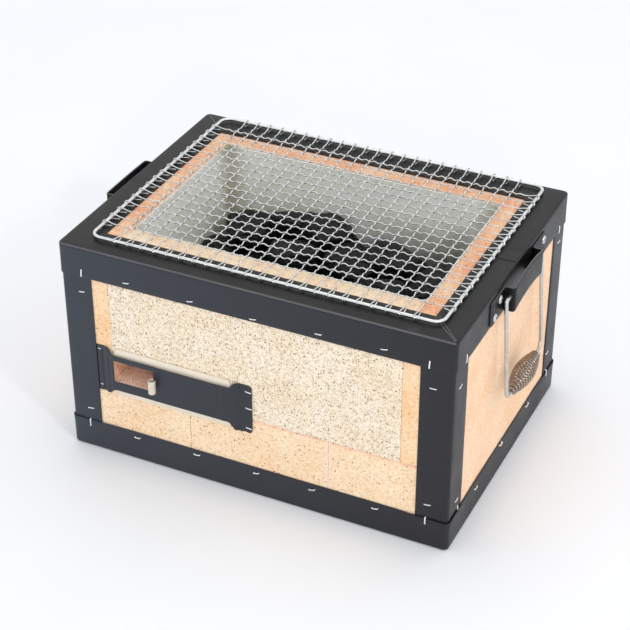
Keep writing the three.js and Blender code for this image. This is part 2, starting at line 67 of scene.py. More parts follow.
def extent(*nodes):
    """Limits of CAD nodes in millimetres from the middle of the body: three (low, high) pairs."""
    boxes = [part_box(n) for n in nodes]
    lows = [min(b[0][i] for b in boxes) for i in range(3)]
    highs = [max(b[1][i] for b in boxes) for i in range(3)]
    lows[1] -= BODY_Y
    highs[1] -= BODY_Y
    return [(lo / MM, hi / MM) for lo, hi in zip(lows, highs)]


BAND_X, BAND_Y, TOP_Z = extent("top_band")
HALF_X, HALF_Y = BAND_X[1], BAND_Y[1]
HEIGHT = TOP_Z[1]
BOTTOM_Z = extent("bottom_band")[2]
ANGLE = extent("corner_angle_front_right")
WALL_X, WALL_Y, WALL_Z = extent("end_wall_right")
FRONT = extent("front_wall")
COURSE_Z = extent("front_brick_left")[2]
COURSE_FOOT = -extent("hearth_slab")[1][0]
CLAY_Y, CAVITY_Y = -FRONT[1][0], -FRONT[1][1]
LINING = extent("lining_left", "lining_right", "lining_front", "lining_back")
GRATE = extent("grate")
PLATE = extent("air_door_plate")
STRIP = extent("air_door_strip")
SLIDER = extent("air_door_slider")
BRACKET = extent("bracket_right")
BAIL = extent("bail_right")
GRIP = extent("grip_right")
NET = extent("net_warp")
JOINTS = {j["name"]: j for j in frame["joints"]}
PIVOT = Vector(JOINTS["bail_right_swing"]["pos_m"]) / MM
GRIP_AXIS = Vector(JOINTS["grip_right_spin"]["pos_m"]) / MM
HANDLE_Y = PIVOT.y - BODY_Y / MM

SHEET = 0.6
GAP = 0.3
CORNER = 4.0
FLANGE = 26.0

# ---- shader helpers


def rgb(code, gain=1.0):
    """A linear colour from a hexadecimal sRGB one."""
    made = []
    for i in (0, 2, 4):
        c = int(code[i : i + 2], 16) / 255
        made.append(gain * (c / 12.92 if c <= 0.04045 else ((c + 0.055) / 1.055) ** 2.4))
    return (*made, 1.0)


class Shader:
    """A material being built: nodes are added by kind, and sockets are linked or set by name."""

    def __init__(self, name):
        self.material = bpy.data.materials.new(name)
        self.material.use_nodes = True
        self.tree = self.material.node_tree
        self.tree.nodes.clear()
        self.surface = self.node("ShaderNodeBsdfPrincipled")
        output = self.node("ShaderNodeOutputMaterial")
        self.tree.links.new(self.surface.outputs["BSDF"], output.inputs["Surface"])
        self.place = self.node("ShaderNodeTexCoord").outputs["Object"]
        self.place = self.stretched((1 / MM,) * 3)

    def put(self, socket, value):
        if isinstance(value, bpy.types.NodeSocket):
            self.tree.links.new(value, socket)
        else:
            socket.default_value = rgb(value) if isinstance(value, str) else value

    def node(self, kind, **values):
        made = self.tree.nodes.new(kind)
        for name, value in values.items():
            self.put(made.inputs[name.replace("_", " ")], value)
        return made

    def grain(self, size, detail=2.0, roughness=0.5, place=None, distortion=0.0):
        """Noise whose features are about this many millimetres across."""
        made = self.node(
            "ShaderNodeTexNoise", Vector=place or self.place, Scale=1 / size, Detail=detail,
            Roughness=roughness, Distortion=distortion,
        )
        return made.outputs["Fac"]

    def cells(self, size):
        """Distance from the nearest of scattered points, and a random colour for each point."""
        made = self.node("ShaderNodeTexVoronoi", Vector=self.place, Scale=1 / size)
        return made.outputs["Distance"], made.outputs["Color"]

    def math(self, operation, a, b=0.0):
        made = self.tree.nodes.new("ShaderNodeMath")
        made.operation = operation
        self.put(made.inputs[0], a)
        self.put(made.inputs[1], b)
        return made.outputs[0]

    def times(self, a, b):
        return self.math("MULTIPLY", a, b)

    def span(self, value, low, high, to_low=0.0, to_high=1.0):
        """value carried from low..high to to_low..to_high, and held at the ends."""
        ends = dict(From_Min=low, From_Max=high, To_Min=to_low, To_Max=to_high)
        return self.node("ShaderNodeMapRange", Value=value, **ends).outputs["Result"]

    def mix(self, share, a, b):
        made = self.tree.nodes.new("ShaderNodeMix")
        made.data_type = "RGBA"
        for index, v in ((0, share), (6, a), (7, b)):
            self.put(made.inputs[index], v)
        return made.outputs[2]

    def part(self, vector, axis):
        return self.node("ShaderNodeSeparateXYZ", Vector=vector).outputs[axis]

    def stretched(self, scale):
        return self.node("ShaderNodeMapping", Vector=self.place, Scale=scale).outputs["Vector"]

    def bump(self, height, distance, strength, **below):
        values = dict(Height=height, Distance=distance * MM, Strength=strength, **below)
        return self.node("ShaderNodeBump", **values).outputs["Normal"]

    def finish(self, **values):
        for name, value in values.items():
            self.put(self.surface.inputs[name.replace("_", " ")], value)
        return self.material


# ---- materials


RECESS_HALF, RECESS_LOW = 26, 153


def body_painted_light(s, base):
    """Painted reflection, bluer and paler to the left of the uprights; nearly black on the top
    flange; painted shade, black in the recess behind each strap.
    """
    x, y, z = (s.part(s.place, i) for i in range(3))
    upright = s.span(z, HEIGHT - 1.0, HEIGHT - 2.6, 0.25, 1)
    # Painted reflection: bluer and paler towards the left of the uprights.
    base = s.mix(s.times(s.span(x, HALF_X, -HALF_X), upright), base, "31363F")
    base = s.mix(s.span(z, HEIGHT - 2.0, HEIGHT - 0.9), base, "08080A")
    # Painted shade: black in the recess behind each strap.
    across = s.span(s.math("ABSOLUTE", y), RECESS_HALF + 3, RECESS_HALF)
    recess_shade = s.times(across, s.span(z, RECESS_LOW, RECESS_LOW + 3))
    on_side = s.span(s.math("ABSOLUTE", x), HALF_X - 1.2, HALF_X - 0.6, 0, 0.85)
    return s.mix(s.times(recess_shade, on_side), base, "040405")


def bracket_painted_shade(s, base):
    """Painted shade: nearly black on the flanges, while the strap keeps the paint's colour."""
    out = s.span(s.math("ABSOLUTE", s.part(s.place, 0)), HALF_X + 3.0, HALF_X + 6.5)
    return s.mix(out, "050506", base)


def painted_steel(name, colour, dust, roughness, gloss=0.5, painted_light_by_place=None):
    """Black paint on sheet steel: fine orange peel, faint smears and pale scuffs."""
    s = Shader(name)
    smear = s.grain(38, 3, 0.6)
    fine = s.grain(2.2, 3, 0.7)
    scuff = s.grain(3.0, 4, 0.75, s.stretched((0.12, 0.12, 1.4)))
    scuffed = s.span(scuff, 0.64, 0.78)
    base = s.mix(s.span(smear, 0.35, 0.7), colour, dust)
    # The optional function paints reflection and shade onto the paint by place.
    if painted_light_by_place is not None:
        base = painted_light_by_place(s, base)
    base = s.mix(s.times(scuffed, 0.2), base, "6A6C70")
    rough = s.span(smear, 0.3, 0.7, roughness - 0.05, roughness + 0.07)
    rough = s.math("ADD", rough, s.span(fine, 0.3, 0.7, -0.03, 0.03))
    peel = s.bump(s.grain(0.9, 2), 0.018, 0.7)
    normal = s.bump(s.grain(30, 2), 0.25, 0.5, Normal=peel)
    return s.finish(Base_Color=base, Roughness=rough, Normal=normal, Specular_IOR_Level=gloss)


def bright_metal(name, colour, roughness, stain_and_reflection="8C8F92", patch_share=0.35, metal=1.0):
    """Drawn wire or plated steel: fine lines along it and darker patches, dull patches on most
    wires and a painted reflection of the clay on the grip.
    """
    s = Shader(name)
    cloud = s.grain(7, 4, 0.6)
    line = s.grain(0.35, 2, 0.5, s.stretched((1, 0.15, 1)))
    base = s.mix(s.span(cloud, 0.45, 0.75, 0, patch_share), colour, stain_and_reflection)
    base = s.mix(s.span(line, 0.3, 0.8, 0, 0.12), base, "5E6063")
    rough = s.span(cloud, 0.3, 0.75, roughness - 0.04, roughness + 0.12)
    return s.finish(
        Base_Color=base, Metallic=metal, Roughness=rough, Normal=s.bump(line, 0.004, 0.3)
    )


def pale_sheet(name, colour, shade):
    """Pale plated sheet: soft clouding, a brushed grain and small dull marks."""
    s = Shader(name)
    cloud = s.grain(16, 4, 0.6)
    brushed = s.grain(0.5, 3, 0.6, s.stretched((0.06, 1, 1)))
    base = s.mix(s.span(cloud, 0.3, 0.75), colour, shade)
    base = s.mix(s.span(brushed, 0.4, 0.8, 0, 0.16), base, "9A968C")
    rough = s.span(cloud, 0.3, 0.7, 0.36, 0.5)
    return s.finish(
        Base_Color=base, Metallic=0.25, Roughness=rough, Normal=s.bump(brushed, 0.012, 0.6)
    )


def clay(name, pale, warm, blotch, speck, specks, dots, seam=None):
    """Sawn diatomite: clouded and sugary. specks is the share of cells with a dark pit, and
    dots the strength of the fine ones."""
    s = Shader(name)
    cloud = s.grain(30, 4, 0.55)
    patch = s.grain(9, 3, 0.6, distortion=0.6)
    ground = s.mix(s.span(cloud, 0.36, 0.66), pale, warm)
    ground = s.mix(s.span(patch, 0.5, 0.78, 0, 0.6), ground, blotch)
    mottle = s.grain(2.8, 3, 0.65)
    ground = s.mix(s.span(mottle, 0.5, 0.72, 0, 0.62 * dots), ground, rgb(speck, 2.4))
    sugar = s.grain(1.3, 3, 0.7)
    ground = s.mix(s.span(sugar, 0.5, 0.8, 0, 0.3 * dots), ground, speck)
    ground = s.mix(s.span(sugar, 0.5, 0.25, 0, 0.7), ground, "FFFAF0")
    if seam is not None:
        ground = seam(s, ground)
    far, kind = s.cells(1.9)
    which = s.part(kind, 0)
    size = s.span(which, 1 - specks, 1.0, 0.11, 0.32)
    edge = s.span(s.math("SUBTRACT", far, size), -0.08, 0.06, 1, 0)
    edge = s.times(edge, s.span(which, 1 - specks, 1.01 - specks))
    far2, kind2 = s.cells(1.15)
    which2 = s.part(kind2, 1)
    edge2 = s.times(s.span(far2, 0.12, 0.36, 1, 0), s.span(which2, 0.4, 0.55))
    colour = s.mix(s.times(edge2, dots), ground, rgb(speck, 1.3))
    colour = s.mix(s.times(edge, 0.95), colour, rgb(speck, 0.4))
    pits = s.math("SUBTRACT", s.grain(0.8, 3, 0.7), s.times(edge, 1.5))
    pits = s.math("SUBTRACT", pits, s.times(edge2, 0.6))
    normal = s.bump(pits, 0.16, 0.6)
    rough = s.span(sugar, 0.2, 0.8, 0.86, 0.98)
    return s.finish(Base_Color=colour, Roughness=rough, Normal=normal, Specular_IOR_Level=0.2)


BRICK_JOINT = extent("front_brick_right")[0][0] - GAP


def mortar(s, ground):
    """Pink mortar beside the upright joint and along the level one."""
    x, z = s.part(s.place, 0), s.part(s.place, 2)
    wander = s.span(s.grain(5, 3, 0.6), 0.2, 0.8, -1.2, 1.2)
    away = s.math("ABSOLUTE", s.math("ADD", s.math("SUBTRACT", x, BRICK_JOINT), wander))
    upright = s.span(away, 1.3, 2.8, 0.85, 0)
    level = s.span(s.math("ADD", z, wander), COURSE_Z[1] - 2.2, COURSE_Z[1] - 0.8, 0, 0.55)
    level = s.times(level, s.span(x, -6, 4))
    ground = s.mix(level, ground, "F2B49A")
    return s.mix(upright, ground, "FBE2D0")


def lining_clay():
    """Grey-green fire cement, olive in the corners, darker low on its right half, and painted
    shade darker towards the bottom of the fire box.
    """
    s = Shader("lining_clay")
    x, y, z = (s.part(s.place, i) for i in range(3))
    cloud = s.grain(26, 4, 0.6)
    depth = s.math("ADD", z, s.span(cloud, 0.2, 0.8, -14, 14))
    # Painted shade: paler at the top and darker towards the bottom of the fire box.
    ground = s.mix(s.span(depth, 168, 112), "FBFAF4", "E4E2D6")
    ground = s.mix(s.span(depth, 122, 96), ground, "7A786C")
    low_right_darkening = s.times(s.span(depth, 156, 114), s.span(x, 0, 56))
    on_end = s.span(s.math("ABSOLUTE", x), LINING[0][1] - 8, LINING[0][1] - 5, 0.85, 0.4)
    ground = s.mix(s.times(low_right_darkening, on_end), ground, "5A5A54")
    near_x = s.span(s.math("ABSOLUTE", x), LINING[0][1] - 26, LINING[0][1])
    near_y = s.span(s.math("ABSOLUTE", y), LINING[1][1] - 22, LINING[1][1])
    corner = s.math("ADD", near_x, near_y)
    olive = s.times(s.span(corner, 1.2, 2.0), s.span(cloud, 0.3, 0.6, 0.35, 1))
    ground = s.mix(s.times(olive, 0.9), ground, "8E8A5E")
    ground = s.mix(s.span(s.grain(9, 3, 0.6), 0.5, 0.8, 0, 0.4), ground, "DCDCC0")
    far, kind = s.cells(3.4)
    pit = s.times(s.span(far, 0.1, 0.2, 1, 0), s.span(s.part(kind, 0), 0.7, 0.75))
    colour = s.mix(s.times(pit, 0.5), ground, "6A6759")
    height = s.math("SUBTRACT", s.grain(1.6, 4, 0.65), pit)
    normal = s.bump(height, 0.14, 0.6, Normal=s.bump(s.grain(14, 2), 0.5, 0.5))
    return s.finish(Base_Color=colour, Roughness=0.95, Normal=normal, Specular_IOR_Level=0.2)


def charcoal():
    """Lump charcoal: black, with glinting facets, fine cracks and a trace of grey ash."""
    s = Shader("charcoal")
    fibre = s.grain(1.2, 4, 0.7, s.stretched((0.3, 1, 1)))
    ash = s.grain(12, 4, 0.6)
    base = s.mix(s.span(fibre, 0.4, 0.75), "060606", "191A1A")
    base = s.mix(s.span(ash, 0.6, 0.85, 0, 0.35), base, "3A3A38")
    far, _ = s.cells(5.5)
    crack = s.span(far, 0.42, 0.6)
    height = s.math("SUBTRACT", fibre, s.times(crack, 1.4))
    rough = s.span(fibre, 0.35, 0.7, 0.42, 0.8)
    return s.finish(
        Base_Color=base, Roughness=rough, Normal=s.bump(height, 0.35, 0.8), Specular_IOR_Level=0.35
    )


def cast_iron():
    s = Shader("cast_iron")
    sand = s.grain(1.0, 3, 0.7)
    rust = s.grain(14, 4, 0.65)
    base = s.mix(s.span(sand, 0.3, 0.7), "1D1D1E", "303032")
    base = s.mix(s.span(rust, 0.55, 0.8, 0, 0.6), base, "4A3226")
    return s.finish(
        Base_Color=base, Metallic=0.6, Roughness=s.span(rust, 0.3, 0.8, 0.55, 0.85),
        Normal=s.bump(sand, 0.12, 0.8),
    )


def studio_floor():
    s = Shader("studio_floor")
    cloud = s.grain(180, 3, 0.5)
    base = s.mix(s.span(cloud, 0.3, 0.7), "F2F5F9", "F5F7FB")
    return s.finish(
        Base_Color=base, Roughness=0.8, Normal=s.bump(s.grain(1.5, 2), 0.02, 0.3),
        Specular_IOR_Level=0.15,
    )


BLACK_STEEL = painted_steel("black_steel", "19191E", "1D1D22", 0.42, 0.38, body_painted_light)
# Painted highlight: a paler, glossier copy of the black paint for the top band's front fold, the
# flange's mitre laps and the brackets' cut edges.
HIGHLIGHT_STEEL = painted_steel("painted_highlight_steel", "48494D", "525256", 0.3, 0.6)
BRACKET_STEEL = painted_steel("bracket_steel", "161619", "1C1C1F", 0.4, 0.2, bracket_painted_shade)
PALE_STEEL = pale_sheet("pale_steel", "F1E6D4", "E6DBC8")
TAB_STEEL = pale_sheet("tab_steel", "E8DCCF", "D8CBBC")
# NET_WIRE and RIM_WIRE are one wire: the rim's brighter copy is a painted highlight and the net's
# darker copy painted shade.
NET_WIRE = bright_metal("net_wire", "E2E4E4", 0.18, "74777A", 0.35)
RIM_WIRE = bright_metal("rim_wire", "EDEFEF", 0.22, "9A9DA0", 0.35)
BAIL_WIRE = bright_metal("bail_wire", "CFD0CD", 0.3)
# Painted reflection: the grip's brown colour and brown patches stand for the clay seen in the
# coil.
GRIP_WIRE = bright_metal("grip_wire", "AFA296", 0.18, "46342A", 0.6)
STAPLE_WIRE = bright_metal("staple_wire", "FBFBFB", 0.42, "DADCDE", 0.2, 0.5)
RIVET_METAL = bright_metal("rivet_metal", "D4D5D6", 0.34)
FRONT_CLAY = clay("front_clay", "F8ECD8", "F3E2C6", "F6E3C0", "7C5A36", 0.62, 1.0)
LOWER_CLAY = clay("lower_clay", "FBE2C0", "F9D6AC", "F8D2A4", "8E6038", 0.27, 0.7, mortar)
SIDE_CLAY = clay("side_clay", "FCDAB9", "F8CBA4", "FAD8AE", "9E6A44", 0.16, 0.6)
STRIP_CLAY = clay("strip_clay", "FAD8AE", "F7C896", "F9D29E", "9A6E44", 0.18, 0.65)
RIM_CLAY = clay("rim_clay", "F8D4AE", "F1AA80", "F4BC94", "9A6444", 0.2, 0.7)
FRONT_RIM_CLAY = clay("front_rim_clay", "F6E4C6", "F4D2B0", "F5DFB2", "9A7250", 0.24, 0.6)
PORT_CLAY = clay("port_clay", "FFD0AC", "FBC096", "FAC69A", "9A5A3C", 0.2, 0.4)
PORT_FLOOR = clay("port_floor", "FFE8DA", "FFDCC8", "FFE4D0", "8E4E36", 0.4, 0.75)
LINING_CLAY = lining_clay()
CHARCOAL = charcoal()
CAST_IRON = cast_iron()
STUDIO_FLOOR = studio_floor()
# Painted shade: rough black for the rivets' holes, the strip's tucked lip and the tab's edge at
# the post.
SHADE_BLACK = painted_steel("painted_shade_black", "0A0A0A", "0E0E0E", 0.8, 0.1)

# ---- mesh helpers


def placed(name, data):
    obj = bpy.data.objects.new(name, data)
    bpy.context.scene.collection.objects.link(obj)
    return obj


def make(name, vertices, faces, material, slot, stands_for=(), sharp=40, body="root", marks=None):
    """A piece from vertices in millimetres from the middle of the body."""
    data = bpy.data.meshes.new(name)
    data.from_pydata([(x * MM, y * MM + BODY_Y, z * MM) for x, y, z in vertices], [], faces)
    data.validate()
    for m in material if isinstance(material, list) else [material]:
        data.materials.append(m)
    for polygon, index in zip(data.polygons, marks or ()):
        polygon.material_index = index
    data.shade_smooth()
    data.set_sharp_from_angle(angle=radians(sharp))
    obj = placed(name, data)
    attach(obj, body)
    if stands_for:
        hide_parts(*stands_for)
    return obj


def from_bmesh(name, bm, material, *rest):
    bm.verts.index_update()
    vertices = [tuple(v.co) for v in bm.verts]
    faces = [[v.index for v in f.verts] for f in bm.faces]
    marks = [f.material_index for f in bm.faces]
    bm.free()
    return make(name, vertices, faces, material, *rest, marks=marks)


def merged(parts):
    """Several (vertices, faces) as one."""
    vertices, faces = [], []
    for v, f in parts:
        base = len(vertices)
        vertices.extend(v)
        faces.extend([[i + base for i in face] for face in f])
    return vertices, faces


def grid_faces(rows, columns, wrap=False, keep=None, flip=False):
    """Quads between rows of vertices; keep says which cells are filled."""
    faces = []
    for i in range(rows - 1):
        for j in range(columns if wrap else columns - 1):
            if keep is None or keep(i, j):
                a, b, k = i * columns, (i + 1) * columns, (j + 1) % columns
                face = [a + j, a + k, b + k, b + j]
                faces.append(face[::-1] if flip else face)
    return faces


def caps(rows, columns):
    """The two end faces of a wrapped grid."""
    last = (rows - 1) * columns
    return [list(range(columns)), [last + j for j in reversed(range(columns))]]


def unit(rows):
    return rows / np.linalg.norm(rows, axis=-1)[..., None]


def tube(points, radius, sides=8, closed=False, flat=1.0):
    """A round wire along points; flat below 1 thins it along its second frame axis."""
    p = np.array(points, float)
    ahead = np.roll(p, -1, 0) - p
    if not closed:
        ahead[-1] = ahead[-2]
    behind = np.roll(ahead, 1, 0)
    if not closed:
        behind[0] = ahead[0]
    t = unit(unit(ahead) + unit(behind))
    side = np.cross(t[0], [0, 0, 1.0])
    if np.linalg.norm(side) < 1e-3:
        side = np.cross(t[0], [0, 1.0, 0])
    side = unit(side)
    vertices, n = [], len(p)
    angles = np.arange(sides) * 2 * pi / sides
    for i in range(n):
        side = unit(side - t[i] * (side @ t[i]))
        up = np.cross(t[i], side)
        ring = np.outer(np.cos(angles), side) + flat * np.outer(np.sin(angles), up)
        vertices.extend(map(tuple, p[i] + radius * ring))
    faces = []
    for i in range(n if closed else n - 1):
        a, b = i * sides, ((i + 1) % n) * sides
        for j in range(sides):
            k = (j + 1) % sides
            faces.append([a + j, b + j, b + k, a + k])
    return vertices, faces if closed else faces + caps(n, sides)


def arc(centre, radius, start, end, steps):
    """Points in a plane from angle start to end, in degrees."""
    angles = [radians(a) for a in np.linspace(start, end, steps + 1)]
    return [(centre[0] + radius * cos(a), centre[1] + radius * sin(a)) for a in angles]


# The four corners in plan, each with the angle at which its rounding starts.
CORNERS = ((1, -1, -90), (1, 1, 0), (-1, 1, 90), (-1, -1, 180))


def round_rectangle(half, radius, steps, middle=(0, 0)):
    points = []
    for sx, sy, start in CORNERS:
        centre = (middle[0] + sx * (half[0] - radius), middle[1] + sy * (half[1] - radius))
        points += arc(centre, radius, start, start + 90, steps)
    return points


def rounded(points, radii, steps=5):
    """Corner points in a plane or in space, joined by straight runs with each corner rounded."""
    made = [Vector(points[0])]
    for before, corner, after, radius in zip(points, points[1:], points[2:], radii):
        corner = Vector(corner)
        a = (Vector(before) - corner).normalized() * radius + corner
        b = (Vector(after) - corner).normalized() * radius + corner
        for i in range(steps + 1):
            u = i / steps
            made.append(a * (1 - u) ** 2 + corner * 2 * u * (1 - u) + b * u * u)
    made.append(Vector(points[-1]))
    return made


def spread(values, step):
    """The values, with more between them so that no step is longer than step."""
    made = [values[0]]
    for a, b in zip(values, values[1:]):
        count = max(1, ceil(abs(b - a) / step - 1e-6))
        made.extend(a + (b - a) * i / count for i in range(1, count + 1))
    return made


def densified(points, step):
    """A polyline of vectors with extra points on its long runs."""
    made = [Vector(points[0])]
    for a, b in zip(points, points[1:]):
        a, b = Vector(a), Vector(b)
        count = max(1, ceil((b - a).length / step - 1e-6))
        made.extend(a.lerp(b, i / count) for i in range(1, count + 1))
    return made


def soft_edge(obj, width, angle=30):
    edge = obj.modifiers.new("edge", "BEVEL")
    edge.width = width * MM
    edge.segments = 2
    edge.limit_method = "ANGLE"
    edge.angle_limit = radians(angle)


def fold_sheet(obj, thickness, bevel):
    """Gives a single surface its thickness, inwards, and soft edges."""
    solid = obj.modifiers.new("thickness", "SOLIDIFY")
    solid.thickness = thickness * MM
    solid.offset = -1
    solid.use_even_offset = True
    soft_edge(obj, bevel, 50)


def smooth(t):
    t = max(0.0, min(1.0, t))
    return t * t * (3 - 2 * t)


def ripple(x, y, z, size, amount, seed=0):
    return amount * noise.noise(Vector((x / size + seed, y / size - seed, z / size + 2 * seed)))


TURN = {"right": 1, "left": -1, "front": 1, "back": -1}


def turned(piece, sign):
    """The same piece, half a turn round the body's upright axis where sign is -1."""
    vertices, faces = piece
    return [(sign * x, sign * y, z) for x, y, z in vertices], faces


# ---- sheet steel bands
BEND = {"top": 1.5, "bottom": 2.2}
FLARE = {"top": 0.12, "bottom": 0.4}
BOW = 0.85
# The edge of each band's skirt, the height of its fold, and the way the flange faces.
BANDS = {"top": (TOP_Z[0], HEIGHT, 1), "bottom": (BOTTOM_Z[1], 0.0, -1)}


def plan_stations(step=9.0):
    """Places round the body: the corners on each side, the share between, and the way out."""
    stations = []
    for (sx, sy, start), (nx, ny, _) in zip(CORNERS, CORNERS[1:] + CORNERS[:1]):
        for a in np.linspace(start, start + 90, 7):
            out = Vector((cos(radians(a)), sin(radians(a))))
            stations.append(((sx, sy), (sx, sy), 0.0, out))
        length = abs(sx - nx) * (HALF_X - CORNER) + abs(sy - ny) * (HALF_Y - CORNER)
        count = round(length / step)
        stations.extend(((sx, sy), (nx, ny), k / count, out) for k in range(1, count))
    return stations


def plan_point(station, inset):
    """A station's point, drawn in by inset; past the corner's radius corners run to a mitre."""
    *corners, share, out = station
    beyond, left = max(0.0, inset - CORNER), max(0.0, CORNER - inset)
    ends = []
    for sx, sy in corners:
        corner = Vector((sx * (HALF_X - CORNER - beyond), sy * (HALF_Y - CORNER - beyond)))
        ends.append(corner + out * left)
    return ends[0].lerp(ends[1], share)


def band_profile(kind):
    """(inset, height) down the outer face of a band, from the skirt's edge to the flange's."""
    bend = BEND[kind]
    skirt, fold, side = BANDS[kind]
    profile = [(0.0, z) for z in spread([skirt, fold - side * bend], 4.5)]
    for a in (15, 30, 45, 60, 75, 90):
        angle = radians(a)
        profile.append((bend - bend * cos(angle), fold - side * bend * (1 - sin(angle))))
    profile.extend((inset, fold) for inset in spread([bend, FLANGE], 6)[1:])
    return profile


def corner_flare(kind, point, z):
    """How far the loose edge of a skirt stands out near the corners."""
    free = max(0.0, 1 - abs(z - BANDS[kind][0]) / 11)
    near = min(HALF_X - abs(point.x), 60) + min(HALF_Y - abs(point.y), 60)
    return FLARE[kind] * free * free * exp(-((near / 16) ** 2))


def skirt_bow(point, z):
    """How far the loose edge of the bottom skirt is pulled in to the clay between the corners."""
    run = max(min(HALF_X - abs(point.x), 80), min(HALF_Y - abs(point.y), 80))
    return BOW * smooth((run - 26) / 16) * z / BOTTOM_Z[1]


def band(kind):
    profile, stations = band_profile(kind), plan_stations()
    bm = bmesh.new()
    made = []
    for inset, z in profile:
        for station in stations:
            p = plan_point(station, inset)
            if inset < 0.01:
                stand = corner_flare(kind, p, z) + ripple(p.x, p.y, z, 45, 0.16, 3)
                if kind == "bottom":
                    stand -= skirt_bow(p, z)
                p = p + station[3] * stand
            dz = ripple(p.x, p.y, z, 50, 0.1, 7) if inset > 3 else 0.0
            made.append(bm.verts.new((p.x, p.y, z + (dz if kind == "top" else abs(dz)))))
    for f in grid_faces(len(profile), len(stations), wrap=True, flip=kind == "bottom"):
        bm.faces.new([made[i] for i in f])
    bmesh.ops.remove_doubles(bm, verts=bm.verts, dist=0.005)
    bm.normal_update()
    # Painted highlight: the faces of the front fold take the paler highlight steel.
    for f in bm.faces:
        at_front = f.calc_center_median().y < -HALF_Y + 1.4
        if kind == "top" and at_front and 0.3 < f.normal.z < 0.93:
            f.material_index = 1
    steels = [BLACK_STEEL, HIGHLIGHT_STEEL]
    obj = from_bmesh(f"band_{kind}", bm, steels, "black_steel", [f"{kind}_band"], 35)
    fold_sheet(obj, SHEET, 0.16)


def ridge(path, width, height, base):
    """A low rounded lap along a level path: its section is a flat-topped hump."""
    points = densified(path, 4)
    vertices = []
    section = [(-0.5, -0.3), (-0.5, 0.75), (-0.42, 1.0), (0.42, 1.0), (0.5, 0.75), (0.5, -0.3)]
    for i, p in enumerate(points):
        ahead = (points[min(i + 1, len(points) - 1)] - points[max(i - 1, 0)]).normalized()
        side = Vector((-ahead.y, ahead.x))
        for across, up in section:
            q = p + side * across * width
            vertices.append((q.x, q.y, base + up * height))
    grid = len(points), len(section)
    return vertices, grid_faces(*grid, wrap=True, flip=True) + caps(*grid)


def flange_laps():
    """The mitre laps at two corners of the top flange, and the laps in the middle of its ends."""
    parts = []
    for sx, sy, aside, width in ((1, -1, 1.7, 0.8), (1, -1, -1.5, 0.7), (-1, 1, 0.0, 0.8)):
        shift = Vector((aside * 0.7, aside * 0.7 * -sx * sy))
        outer = Vector((sx * (HALF_X - 2.6), sy * (HALF_Y - 2.6)))
        inner = Vector((sx * (HALF_X - FLANGE + 1.5), sy * (HALF_Y - FLANGE + 1.5)))
        parts.append(ridge([outer + shift * 0.3, inner + shift], width, 0.34, HEIGHT))
    # The mitre laps take the paler highlight steel: painted highlight.
    make("flange_seams", *merged(parts), HIGHLIGHT_STEEL, "black_steel", sharp=30)
    v, f = ridge([Vector((HALF_X - FLANGE + 0.5, 0)), Vector((HALF_X - 1.6, 0))], 14, 0.3, HEIGHT)
    v = [(x, y + 7, z - 0.3 * max(0.0, y + 7) / 15) for x, y, z in v]
    laps = merged([turned((v, f), 1), turned((v, f), -1)])
    make("flange_laps", *laps, BLACK_STEEL, "black_steel", sharp=30)


def corner_angle(name, sx, sy):
    """A sheet angle on one corner, under the bands."""
    inset = ANGLE[0][1] - HALF_X
    radius = CORNER + inset
    out_x, out_y = HALF_X + inset, HALF_Y + inset
    leg = HALF_X - ANGLE[0][0]
    centre = (out_x - radius, out_y - radius)
    plan = [(out_x, y) for y in spread([HALF_Y - leg, centre[1]], 7)]
    plan += arc(centre, radius, 0, 90, 7)[1:]
    plan += [(x, out_y) for x in spread([centre[0], HALF_X - leg], 7)[1:]]
    levels = spread([ANGLE[2][0], ANGLE[2][1]], 8)
    vertices = []
    for z in levels:
        for x, y in plan:
            wave = ripple(x * sx, y * sy, z, 32, 0.14, 11)
            px, py = x + wave * (x >= out_x - 0.01), y + wave * (y >= out_y - 0.01)
            vertices.append((sx * px, sy * py, z))
    faces = grid_faces(len(levels), len(plan), flip=sx * sy < 0)
    obj = make(name.replace("corner_", ""), vertices, faces, BLACK_STEEL, "black_steel", [name])
    fold_sheet(obj, SHEET, 0.16)


# ---- staples
CROWN = {"h": 4.6, "v": 6.2}
LEAN = {"h": (1, 13), "v": (-6, 6)}
STAPLE_RADIUS = 0.52
# Across the face and up it, from the middle of the body, with the way each crown lies.
FRONT_STAPLES = [
    (-98.9, 158.4, "h"), (-46.8, 157.1, "h"), (3.0, 156.0, "h"), (53.4, 157.9, "h"),
    (102.6, 159.6, "h"), (-97.9, 20.7, "h"), (-46.8, 21.3, "h"), (2.8, 20.4, "h"),
    (48.3, 20.4, "h"), (98.4, 20.4, "h"),
    (-136.1, 157.1, "v"), (-137.6, 140.4, "h"), (135.8, 156.7, "v"), (138.7, 137.5, "h"),
    (-137.9, 35.9, "h"), (-138.8, 22.4, "v"), (138.1, 37.1, "h"), (137.3, 22.9, "v"),
]
RIGHT_STAPLES = [
    (-96.3, 155.8, "v"), (-102.9, 136.9, "h"), (96.1, 154.9, "v"), (100.8, 141.8, "h"),
    (93.7, 24.7, "v"), (94.4, 43.5, "h"), (-99.0, 36.0, "h"), (-95.8, 25.4, "v"),
    (-60.0, 19.1, "h"), (-8.2, 23.8, "h"), (50.5, 21.6, "h"),
]


def staple_path(crown, height, leg):
    """(along, outward) down one leg, over the crown and down the other."""
    half = crown / 2
    corners = [(-half + 0.1, -leg), (-half, height), (half, height), (half - 0.1, -leg)]
    return rounded([Vector((a, b, 0)) for a, b in corners], [0.75, 0.75], 4)


def staple_at(spot, across, out, crown, lean, height=0.32, leg=1.6):
    """A staple at spot, its crown lying along across turned by lean, standing off along out."""
    turn = Matrix.Rotation(radians(lean), 3, out)
    along = turn @ across
    points = [spot + along * p.x + out * p.y for p in staple_path(crown, height, leg)]
    return tube(points, STAPLE_RADIUS, 7, flat=0.8)


